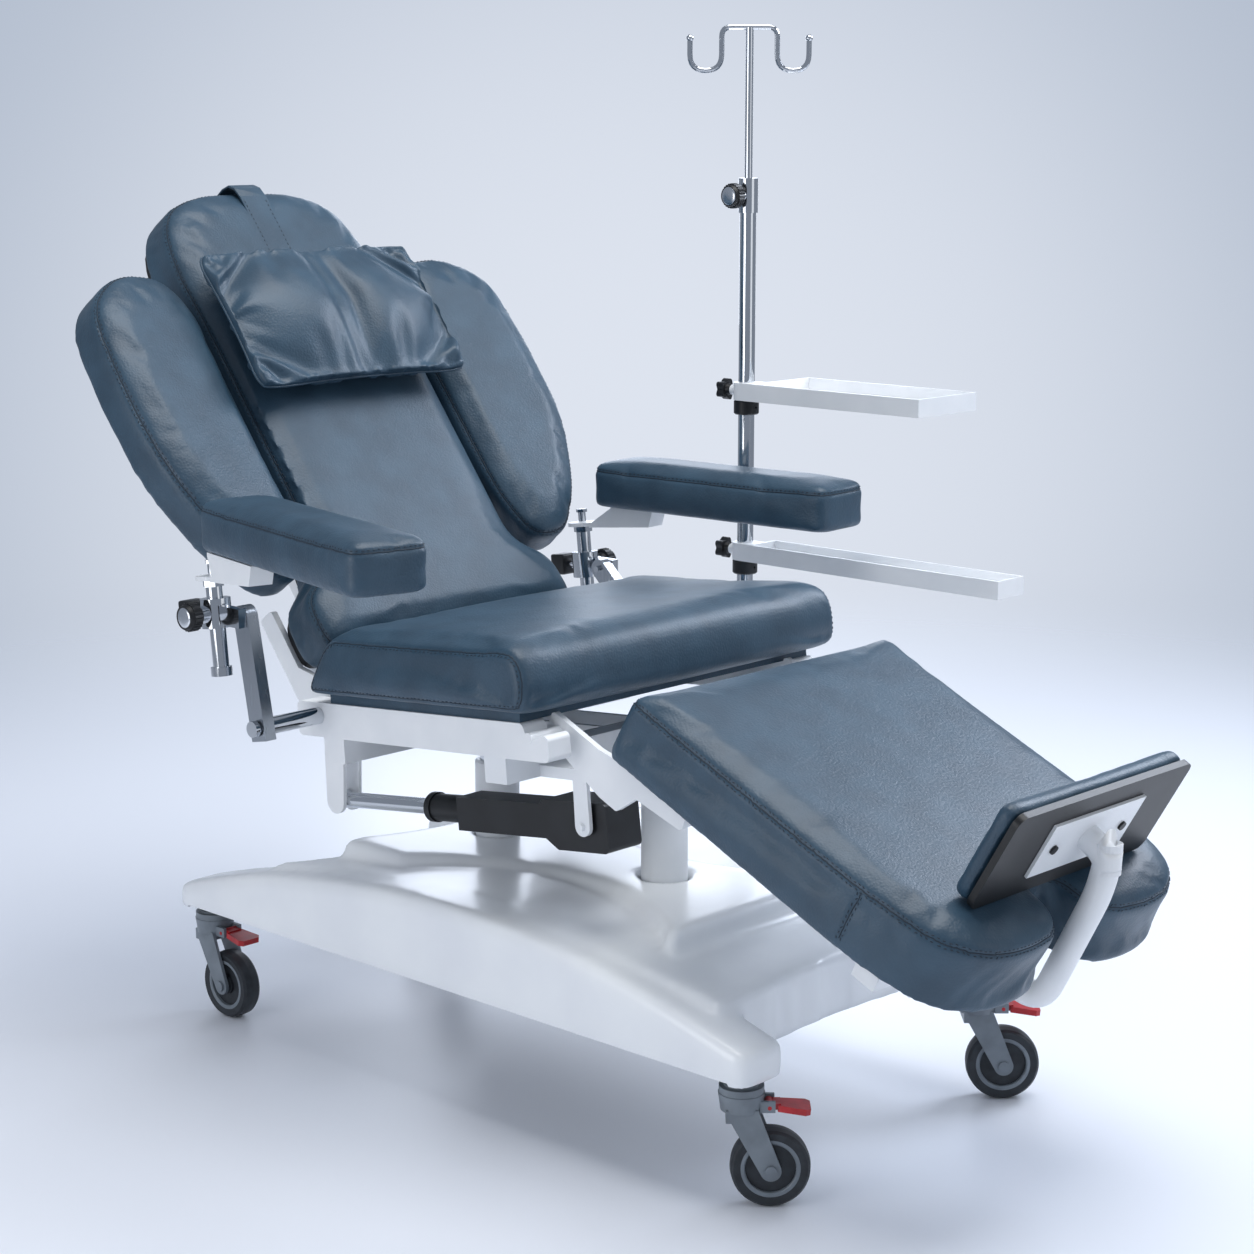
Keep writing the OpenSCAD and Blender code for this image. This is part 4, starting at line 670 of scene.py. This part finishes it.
# %% Wheel rings and knob caps
CASTERS = {"front_right": (-0.245, -0.517, -47), "front_left": (0.245, -0.517, -47),
           "rear_right": (-0.245, 0.517, -90), "rear_left": (0.245, 0.517, 133)}
HUB_RING = [(31.5, 7.0), (31.5, 12.4), (33.0, 13.6), (36.5, 13.6), (38.2, 12.6), (38.2, 11.0), (36.0, 7.0)]
for corner, (x, y, yaw) in CASTERS.items():
    axle = BASE @ move(x, y, 0.050) @ tip(yaw, "Z") @ move(0.036, 0, 0)
    for label, turn in (("outer", 90), ("inner", -90)):
        turned(f"hub_ring_{corner}_{label}", HUB_RING, axle @ tip(turn), grey_nylon, corner + "_roller",
               "fork_grey", 48)

CAP = [(0, 1.6), (7.0, 1.5), (11.0, 1.0), (13.4, 0.2), (14.0, -0.6), (14.0, -3.0), (0, -3.0)]
CAPS = {"right_height_knob": BASE @ move(-0.400, 0.2908, 0.6576) @ tip(-6) @ tip(-90, "Y") @ move(0, 0, 0.0543),
        "left_height_knob": BASE @ move(0.400, 0.37115, 0.6140) @ tip(-6) @ tip(90, "Y") @ move(0, 0, 0.0543),
        "pole_clamp_knob": BASE @ move(0.520, 0.140, 1.196) @ tip(-90, "Y") @ move(0, 0, 0.0458)}
for body, matrix in CAPS.items():
    turned(body + "_cap", CAP, matrix, turned_aluminium, body, "chromed")
print("rings and caps", 8 + len(CAPS))

# %% [markdown]
# ## The bent stem of the footboard
# One tube runs out of the legrest, through the notch between the toes and up to the plate.
# Its centre line comes from five corners in the frame of the legrest, each rounded by a
# curve, and a finer tube is drawn along it than the faceted one of the frame.

# %% The foot stem
STEM_LINE = [(-0.545, -0.016, 0), (-0.651, -0.016, 0.034), (-0.658, 0.1798, 0.044), (-0.648, 0.2048, 0.020),
             (-0.6119, 0.2094, 0)]
STEM_RADIUS = 0.0170


def bent_line(corners, steps=10):
    """Points along corners of (y, z, cut) whose cuts are rounded."""
    spots = [Vector((0, y, z)) for y, z, _ in corners]
    line = [spots[0]]
    for i in range(1, len(corners) - 1):
        cut = corners[i][2]
        a = spots[i] + (spots[i - 1] - spots[i]).normalized() * cut
        b = spots[i] + (spots[i + 1] - spots[i]).normalized() * cut
        line += [(1 - t) ** 2 * a + 2 * t * (1 - t) * spots[i] + t * t * b
                 for t in (k / steps for k in range(steps + 1))]
    return line + [spots[-1]]


stem = tube_along("foot_stem_tube", [LEG @ p for p in bent_line(STEM_LINE)], STEM_RADIUS, False, 10)
place_piece(stem, Matrix(), powder_coat, "footrest", "white_frame")
print("stem", len(stem.data.polygons), "faces")

# %% [markdown]
# ## The square lock knobs
# Behind each armrest clamp sits a square black grip with a sunk end face.


# %% Lock knobs
def lock_grip(side, matrix):
    """A square grip: a block with broken edges and a sunk end."""
    bpy.ops.object.select_all(action="DESELECT")
    bpy.ops.mesh.primitive_cube_add(size=1)
    piece = bpy.context.object
    piece.name = "lock_grip_" + side
    bpy.ops.object.mode_set(mode="EDIT")
    bpy.ops.mesh.select_all(action="SELECT")
    bpy.ops.transform.resize(value=(0.033, 0.029, 0.033))
    bpy.ops.mesh.bevel(offset=0.0035, segments=3, affect="EDGES")
    choose_faces(piece, lambda centres, normals: normals[:, 1] > 0.99)
    bpy.ops.mesh.inset(thickness=0.004)
    bpy.ops.transform.translate(value=(0, -0.002, 0))
    bpy.ops.object.mode_set(mode="OBJECT")
    bpy.ops.object.shade_smooth_by_angle(angle=math.radians(35))
    return place_piece(piece, matrix, black_polyamide, side + "_clamp", "black")


lock_grip("right", BASE @ move(-0.400, 0.2908, 0.6576) @ tip(-6) @ move(0, 0.0485, 0))
lock_grip("left", BASE @ move(0.400, 0.37115, 0.6140) @ tip(-6) @ move(0, 0.0485, 0))
print("lock grips 2")

# %% [markdown]
# ## Cushions
# A stuffed cover is not a block: the foam swells it until the seams hold it back. So each
# cushion starts as the plain form of the frame, is cut into an even net, and a short cloth
# simulation blows it up with air pressure while its rear face stays on its board. What a
# point may move is capped, because real foam gives only a few millimetres.


# %% Cushion helpers
EASE = 6  # passes that smooth the net, so its steps do not show in the skin
EASE_SKIN = 3  # the same for the swollen skin
CLOTH_STIFF = 25  # how hard the cover resists being stretched or pressed together


def swell(piece, held, pressure, cap, frames=20, bend=4.0, extra=0.0):
    """Blows a cushion up with cloth pressure; held gives a point's grip from 0 to 1.

    extra is the share by which the cover is cut larger than the form that it starts from.
    """
    rest = points_of(piece)[0].astype(float)
    group = piece.vertex_groups.new(name="held")
    for i, co in enumerate(rest):
        grip = held(Vector(co))
        if grip > 0:
            group.add([i], grip, "REPLACE")
    cloth = piece.modifiers.new("air", "CLOTH")
    cloth.settings.quality = 4
    cloth.settings.mass = 0.2
    cloth.settings.use_pressure = True
    cloth.settings.uniform_pressure_force = pressure
    cloth.settings.tension_stiffness = CLOTH_STIFF
    cloth.settings.compression_stiffness = CLOTH_STIFF
    cloth.settings.bending_stiffness = bend
    cloth.settings.shrink_min = -extra
    cloth.settings.effector_weights.gravity = 0
    cloth.settings.vertex_group_mass = group.name
    cloth.point_cache.frame_start = 1
    cloth.point_cache.frame_end = frames
    for number in range(1, frames + 1):
        scene.frame_set(number)
    blown = bpy.data.meshes.new_from_object(piece.evaluated_get(bpy.context.evaluated_depsgraph_get()))
    moved = np.empty(rest.size, np.float32)
    blown.vertices.foreach_get("co", moved)
    bpy.data.meshes.remove(blown)
    piece.modifiers.remove(cloth)
    scene.frame_set(1)
    step = moved.reshape(-1, 3) - rest
    far = np.linalg.norm(step, axis=1)
    put_points(piece, rest + step * np.minimum(1.0, cap / np.maximum(far, 1e-9))[:, None])
    piece.vertex_groups.clear()
    return float(min(far.max(), cap))


def cushion(node, name, body, held, voxel=0.006, pressure=4.0, cap=0.006, shrink=0.0015, fill=0.85):
    """A cushion from a frame node: even net, swollen cover, one subdivision."""
    piece = plain_copy(node, name)
    apply(piece, "REMESH", mode="VOXEL", voxel_size=voxel)
    apply(piece, "SMOOTH", factor=0.5, iterations=EASE)
    if shrink:
        apply(piece, "DISPLACE", strength=-shrink, mid_level=0.0)
    reach = 0.0 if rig.quick() else swell(piece, held, pressure, cap)
    apply(piece, "SMOOTH", factor=0.5, iterations=EASE_SKIN)
    apply(piece, "SUBSURF", levels=1, render_levels=1)
    bpy.ops.object.shade_smooth()
    piece.data.materials.append(hide)
    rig.ride(piece, body)
    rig.replaces(piece, node)
    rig.slot(piece, "hide")
    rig.padded(piece, fill=fill)
    print(name, len(piece.data.vertices), "points, swelled", round(reach * 1000, 1), "mm")
    return piece


# %% [markdown]
# ## The cushions of the chair
# Six kinds of firm pad: the seat with its rounded front edge, the back with its narrow head,
# two side wings, the split leg pad, the two armrests and the foot pad. Each rests on its
# board, so its lowest skin is held while the rest may swell.


# %% All firm cushions
def low_face(matrix, height, band=0.006):
    """Grip on everything below a height of a local frame, fading over a band."""
    inverse = matrix.inverted()

    def grip(co):
        return max(0.0, min(1.0, (height + band - (inverse @ co).z) / band))

    return grip


def wing_frame(side):
    """The frame of a side wing: it starts beside the back and leans its outer edge forward."""
    return BACK @ Matrix.Scale(side, 4, (1, 0, 0)) @ move(0.198, 0.190, -0.029) @ tip(-7, "Y")


WING_RIGHT, WING_LEFT = wing_frame(-1), wing_frame(1)
ARM_RIGHT = BASE @ move(-0.400, 0.2983, 0.7292) @ tip(-13, "Z") @ move(0.028, -0.236, 0.015)
ARM_LEFT = BASE @ move(0.400, 0.3803, 0.7015) @ tip(4, "Z") @ move(0, -0.286, 0.015)

seat_pad = cushion("seat_cushion", "seat_pad", "seat", low_face(SEAT, 0.066))
back_pad = cushion("back_cushion", "back_pad", "backrest", low_face(BACK, -0.030), cap=0.005)
leg_pad = cushion("leg_cushion", "leg_pad", "legrest", low_face(LEG, 0.036))
wing_pad_right = cushion("wing_right", "side_wing_right", "backrest", low_face(WING_RIGHT, 0.006), cap=0.004)
wing_pad_left = cushion("wing_left", "side_wing_left", "backrest", low_face(WING_LEFT, 0.006), cap=0.004)
rest_right = cushion("arm_pad_right", "armrest_right", "right_armrest", low_face(ARM_RIGHT, 0.004), cap=0.005)
rest_left = cushion("arm_pad_left", "armrest_left", "left_armrest", low_face(ARM_LEFT, 0.004), cap=0.005)
cushion("foot_pad", "toe_pad", "footrest", lambda co: 0.0, voxel=0.004, cap=0.003)

# %% [markdown]
# ## Seams
# On the real chair the top panel of each cushion is sewn to a side band. The seam is pulled
# into the foam and runs between two rows of stitches. The line of a seam is the outline of
# the pad at a chosen height, dropped onto the swollen skin, and the skin is pressed in
# along it. Stitches are too small to model one by one: one is shaped and then repeated.


# %% Seam helpers
def skin_of(piece):
    """A search tree over the faces of a piece."""
    points = [v.co for v in piece.data.vertices]
    return BVHTree.FromPolygons(points, [list(p.vertices) for p in piece.data.polygons])


def outline(corners, inward=0.0, steps=8):
    """A pad's outline from (x, y, cut) corners in metres, moved inwards, its corners rounded."""
    moved = []
    for i, (x, y, cut) in enumerate(corners):
        before, after = Vector(corners[i - 1][:2]), Vector(corners[(i + 1) % len(corners)][:2])
        u, v = (Vector((x, y)) - before).normalized(), (after - Vector((x, y))).normalized()
        lean = Vector((-u.y - v.y, u.x + v.x)) / (1 + u.dot(v))
        turn = math.atan2(u.x * v.y - u.y * v.x, u.dot(v))
        moved.append((Vector((x, y)) + inward * lean, max(0.001, cut - inward * math.tan(turn / 2))))
    line = []
    for i, (spot, cut) in enumerate(moved):
        before, after = moved[i - 1][0], moved[(i + 1) % len(moved)][0]
        a, b = spot + (before - spot).normalized() * cut, spot + (after - spot).normalized() * cut
        for k in range(steps + 1):
            t = k / steps
            line.append((1 - t) ** 2 * a + 2 * t * (1 - t) * spot + t * t * b)
    return line


def laid_on(tree, points, closed=True, spacing=0.002):
    """Points dropped onto a skin, about spacing apart, each with the skin's normal."""
    ends = points[1:] + points[:1] if closed else points[1:]
    line = []
    for a, b in zip(points, ends):
        count = max(1, round((b - a).length / spacing))
        for k in range(count):
            spot, normal, _, _ = tree.find_nearest(a.lerp(b, k / count))
            line.append((spot, normal))
    return line


def beside(tree, line, distance, closed=True):
    """A line moved sideways over the skin."""
    moved = []
    for i, (spot, normal) in enumerate(line):
        after = line[(i + 1) % len(line)][0] if closed else line[min(i + 1, len(line) - 1)][0]
        before = line[i - 1][0] if closed or i else line[0][0]
        side = normal.cross(after - before).normalized()
        place, up, _, _ = tree.find_nearest(spot + side * distance)
        moved.append((place, up))
    return moved


def press_in(piece, line, depth, width):
    """Pulls the skin in along a seam, as the thread does."""
    near = KDTree(len(line))
    for i, (spot, _) in enumerate(line):
        near.insert(spot, i)
    near.balance()
    places, normals = points_of(piece)
    away = np.array([near.find(co)[2] for co in places])
    put_points(piece, places - normals * (depth * np.exp(-((away / width) ** 2)))[:, None])


def one_stitch(length, thick):
    """The points and faces of one stitch: a sphere drawn out along x and flattened."""
    bpy.ops.object.select_all(action="DESELECT")
    bpy.ops.mesh.primitive_uv_sphere_add(segments=6, ring_count=4, radius=0.5)
    piece = bpy.context.object
    bpy.ops.object.mode_set(mode="EDIT")
    bpy.ops.mesh.select_all(action="SELECT")
    bpy.ops.transform.resize(value=(length, thick * 1.3, thick))
    bpy.ops.object.mode_set(mode="OBJECT")
    shape = [v.co.copy() for v in piece.data.vertices], [list(p.vertices) for p in piece.data.polygons]
    bpy.data.objects.remove(piece)
    return shape


STITCH_LONG, STITCH_PITCH, STITCH_THICK = 0.0046, 0.0064, 0.0012
STITCH = one_stitch(STITCH_LONG, STITCH_THICK)


def sew(name, rows, closed=True):
    """Rows of stitches along lines on a skin, all in one mesh."""
    points, faces = [], []
    for line in rows:
        travelled = 0.0
        for i in range(len(line) - 1 if not closed else len(line)):
            spot, normal = line[i]
            ahead = line[(i + 1) % len(line)][0] - spot
            travelled += ahead.length
            if travelled < STITCH_PITCH or ahead.length < 1e-6:
                continue
            travelled = 0.0
            x = (ahead - normal * ahead.dot(normal)).normalized()
            turn = Matrix((x, normal.cross(x), normal)).transposed()
            first = len(points)
            points += [turn @ p + spot + normal * STITCH_THICK * 0.2 for p in STITCH[0]]
            faces += [[first + n for n in face] for face in STITCH[1]]
    data = bpy.data.meshes.new(name)
    data.from_pydata(points, [], faces)
    piece = bpy.data.objects.new(name, data)
    scene.collection.objects.link(piece)
    data.materials.append(thread)
    print(name, len(faces) // len(STITCH[1]), "stitches")
    return piece


def seam(piece, body, lines, depth=0.0018, width=0.0034, rows=(-0.0036, 0.0036), closed=True, cord=0.0008):
    """Seams on a cushion: each line is pressed in, a thin cord lies in it, stitches run beside it."""
    tree = skin_of(piece)
    made = [laid_on(tree, [Vector(p) for p in line], closed) for line in lines]
    press_in(piece, [spot for line in made for spot in line], depth, width)
    tree = skin_of(piece)
    stitched = []
    for number, line in enumerate(made):
        sunk = [tree.find_nearest(spot)[:2] for spot, _ in line]
        label = "welt" if closed else "band_welt"
        welt = tube_along(f"{piece.name}_{label}_{number}", [spot for spot, _ in sunk[::2]], cord, closed, 1)
        welt.data.materials.append(thread)
        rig.ride(welt, body)
        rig.slot(welt, "hide")
        stitched += [beside(tree, sunk, shift, closed) for shift in rows]
    threads = sew(piece.name + ("_stitches" if closed else "_band_stitches"), stitched, closed)
    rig.ride(threads, body)
    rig.slot(threads, "hide")


# %% [markdown]
# ## Where the seams run
# The outlines are those of the frame's pads. On the seat the seam runs round each side
# panel instead, because the top panel is drawn over the front edge and down.

# %% Seams of the firm cushions
def ring(matrix, corners, inward, height):
    """An outline of a pad at a height of its local frame."""
    return [matrix @ Vector((p.x, p.y, height)) for p in outline(corners, inward)]


BACK_OUTLINE = [(-0.250, 0.076, 0.034), (0.250, 0.076, 0.034), (0.250, 0.168, 0.034), (0.190, 0.206, 0.030),
                (0.191, 0.600, 0.060), (0.198, 0.730, 0.046), (0.172, 0.832, 0.058), (0.080, 0.862, 0.038),
                (-0.080, 0.862, 0.038), (-0.172, 0.832, 0.058), (-0.198, 0.730, 0.046), (-0.191, 0.600, 0.060),
                (-0.190, 0.206, 0.030), (-0.250, 0.168, 0.034)]
WING_OUTLINE = [(0.004, 0.090, 0.040), (0.030, 0.004, 0.034), (0.096, 0.0, 0.030), (0.154, 0.066, 0.040),
                (0.2076, 0.190, 0.060), (0.214, 0.3563, 0.060), (0.199, 0.4716, 0.050), (0.1177, 0.524, 0.040),
                (0.0385, 0.516, 0.034), (0.002, 0.4506, 0.036)]
LEG_OUTLINE = [(-0.264, -0.529, 0.060), (-0.238, -0.649, 0.062), (-0.134, -0.679, 0.046), (-0.055, -0.665, 0.026),
               (-0.029, -0.629, 0.018), (-0.028, -0.583, 0.024), (0.028, -0.583, 0.024), (0.029, -0.629, 0.018),
               (0.055, -0.665, 0.026), (0.134, -0.679, 0.046), (0.238, -0.649, 0.062), (0.264, -0.529, 0.060),
               (0.262, -0.094, 0.018), (-0.262, -0.094, 0.018)]
ARM_OUTLINE = [(-0.059, -0.224, 0.026), (0.059, -0.224, 0.026), (0.059, 0.224, 0.026), (-0.059, 0.224, 0.026)]
SEAT_PROFILE = [(0.217, 0.0, 0.014), (0.167, 0.090, 0.032), (-0.222, 0.092, 0.040), (-0.230, 0.027, 0.018),
                (-0.214, 0.0, 0.010)]
SEAT_BOTTOM, SEAT_HALF = 0.060, 0.318  # underside of the pad and the face of its side panel
BACK_SEAM, LEG_SEAM, WING_SEAM, ARM_SEAM = 0.030, 0.120, 0.061, 0.059  # height of each seam

seam(back_pad, "backrest", [ring(BACK, BACK_OUTLINE, 0.004, BACK_SEAM)])
seam(leg_pad, "legrest", [ring(LEG, LEG_OUTLINE, 0.002, LEG_SEAM)])
# A short seam across the side band of the leg pad, where the toe section begins
band_seams = [[LEG @ Vector((s * 0.267, -0.505, z)) for z in (0.116, 0.095, 0.070, 0.045)] for s in (-1, 1)]
seam(leg_pad, "legrest", band_seams, closed=False)
seam(wing_pad_right, "backrest", [ring(WING_RIGHT, WING_OUTLINE, 0.004, WING_SEAM)])
seam(wing_pad_left, "backrest", [ring(WING_LEFT, WING_OUTLINE, 0.004, WING_SEAM)])
seam(rest_right, "right_armrest", [ring(ARM_RIGHT, ARM_OUTLINE, 0.0, ARM_SEAM)], rows=(0.0036,))
seam(rest_left, "left_armrest", [ring(ARM_LEFT, ARM_OUTLINE, 0.0, ARM_SEAM)], rows=(0.0036,))
seat_sides = [[SEAT @ Vector((x, p.x, p.y + SEAT_BOTTOM)) for p in outline(SEAT_PROFILE, 0.006)]
              for x in (-SEAT_HALF, SEAT_HALF)]
seam(seat_pad, "seat", seat_sides, rows=(-0.0036,))

# %% [markdown]
# ## The head pillow
# The pillow is not foam but a loose bag of fibre, so its ends gather where the cover is
# sewn. That is what cloth does best: two flat sheets are held at the rim, and their cloth is
# cut larger than the rim is wide. Blown up, the surplus gives the fullness in the middle and
# puckers at the ends by itself. A cord of piping covers the rim.

# %% The pillow
PILLOW_WIDE, PILLOW_HIGH, PILLOW_THICK = 0.404, 0.234, 0.088
PILLOW_REAR = 0.0506  # rear face in front of the hinge, on the strap
EXTRA_CLOTH = 0.075  # share of cloth beyond the size of the rim
SIDE_DIP = 0.007  # how far the middle of each side draws in
CORNER_CUT = 0.05  # share by which the tips of the corners are pulled back
PILLOW_PRESSURE, PILLOW_BEND, PILLOW_FRAMES = 9.0, 1.0, 30
EVEN_PASSES = 34  # smoothing of the folds in the middle
PIPING_RADIUS = 0.0019


def on_rim(co):
    """Grip 1 on the sewn rim of the flat sheets and 0 inside."""
    return 1.0 if abs(co.x) > PILLOW_WIDE / 2 - 0.0005 or abs(co.y) > PILLOW_HIGH / 2 - 0.0005 else 0.0


def stuffed_pillow():
    """The two flat sheets of the cover, one above the other and joined at the rim."""
    bpy.ops.object.select_all(action="DESELECT")
    bpy.ops.mesh.primitive_grid_add(x_subdivisions=90, y_subdivisions=54, size=1)
    piece = bpy.context.object
    piece.name = "head_pillow_pad"
    bpy.ops.object.mode_set(mode="EDIT")
    bpy.ops.mesh.select_all(action="SELECT")
    bpy.ops.transform.resize(value=(PILLOW_WIDE, PILLOW_HIGH, 1))
    bpy.ops.mesh.extrude_region_move(TRANSFORM_OT_translate={"value": (0, 0, 0.003)})
    bpy.ops.mesh.select_all(action="SELECT")
    bpy.ops.mesh.normals_make_consistent(inside=False)
    bpy.ops.object.mode_set(mode="OBJECT")
    return piece


def rim_of(piece):
    """The points on the lower edge of the sewn rim, in order round the flat sheets."""
    edge = []
    for i, vertex in enumerate(piece.data.vertices):
        x, y, z = vertex.co
        if z < 0.001 and on_rim(vertex.co):
            edge.append((math.atan2(y / PILLOW_HIGH, x / PILLOW_WIDE), i))
    return [i for _, i in sorted(edge)]


def fill_out(piece):
    """Evens the folds in the middle of the pillow, where the filling is fullest."""
    group = piece.vertex_groups.new(name="middle")
    for i, vertex in enumerate(piece.data.vertices):
        across = abs(vertex.co.x) / (PILLOW_WIDE / 2)
        weight = max(0.1, min(1.0, (0.92 - across) / 0.42))
        group.add([i], 0.0 if on_rim(vertex.co) else weight, "REPLACE")
    apply(piece, "SMOOTH", factor=0.5, iterations=EVEN_PASSES, vertex_group="middle")
    piece.vertex_groups.clear()


def settle(piece):
    """Draws the sides in, eases the corners and presses the pillow to its thickness."""
    places, _ = points_of(piece)
    across = places[:, 0] / (PILLOW_WIDE / 2)
    along = places[:, 1] / (PILLOW_HIGH / 2)
    tips = np.clip((np.abs(across) + np.abs(along) - 1.7) / 0.3, 0, 1) ** 2
    places[:, 0] -= SIDE_DIP * across * (1 - along ** 2)
    places[:, 1] -= SIDE_DIP * along * (1 - across ** 2)
    places[:, :2] *= (1 - CORNER_CUT * tips)[:, None]
    lowest, highest = places[:, 2].min(), places[:, 2].max()
    places[:, 2] = (places[:, 2] - lowest) * PILLOW_THICK / (highest - lowest)
    put_points(piece, places)


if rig.quick():
    pillow = plain_copy("pillow", "head_pillow_pad")
    apply(pillow, "REMESH", mode="VOXEL", voxel_size=0.005)
else:
    pillow = stuffed_pillow()
    rim = rim_of(pillow)
    rise = swell(pillow, on_rim, PILLOW_PRESSURE, 0.06, PILLOW_FRAMES, PILLOW_BEND, EXTRA_CLOTH)
    print("pillow rise", round(rise * 1000, 1), "mm")
    fill_out(pillow)
    settle(pillow)
    pillow.data.transform(BACK @ move(0, 0.584, PILLOW_REAR))
    pillow.data.update()
    rim_line = [pillow.data.vertices[i].co for i in rim]
    piping = tube_along("head_pillow_piping", rim_line, PIPING_RADIUS, True, 2)
    place_piece(piping, Matrix(), hide, "head_pillow", "hide")
apply(pillow, "SUBSURF", levels=1, render_levels=1)
bpy.ops.object.shade_smooth()
pillow.data.materials.append(hide)
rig.ride(pillow, "head_pillow")
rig.replaces(pillow, "pillow")
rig.slot(pillow, "hide")
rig.padded(pillow, fill=0.6)
print("pillow points", len(pillow.data.vertices))

# %% [markdown]
# ## The strap of the pillow
# A flat band of the same leather runs from under the pillow over the head of the back. The
# frame holds its run, so its form is copied and its edges are broken.

# %% The pillow strap
strap = plain_copy("pillow_strap", "pillow_band")
apply(strap, "BEVEL", width=0.0008, segments=2)
strap.data.materials.append(hide)
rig.ride(strap, "backrest")
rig.replaces(strap, "pillow_strap")
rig.slot(strap, "hide")
up = BACK.to_3x3() @ Vector((0, 0, 1))
STRAP_FACE, STRAP_HALF = 0.0504, 0.0205  # its upper face, and each row's distance from the middle
strap_rows = [[(BACK @ Vector((x, s * MM, STRAP_FACE)), up) for s in range(560, 831, 2)]
              for x in (-STRAP_HALF, STRAP_HALF)]
strap_thread = sew("pillow_band_stitches", strap_rows, closed=False)
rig.ride(strap_thread, "backrest")
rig.slot(strap_thread, "hide")
print("strap", len(strap.data.polygons), "faces")

# %% Size and finish
json.dump({"cad": cad_box, "visual": [list(corner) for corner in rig.bounds()]}, open("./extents.json", "w"))
print(open("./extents.json").read())
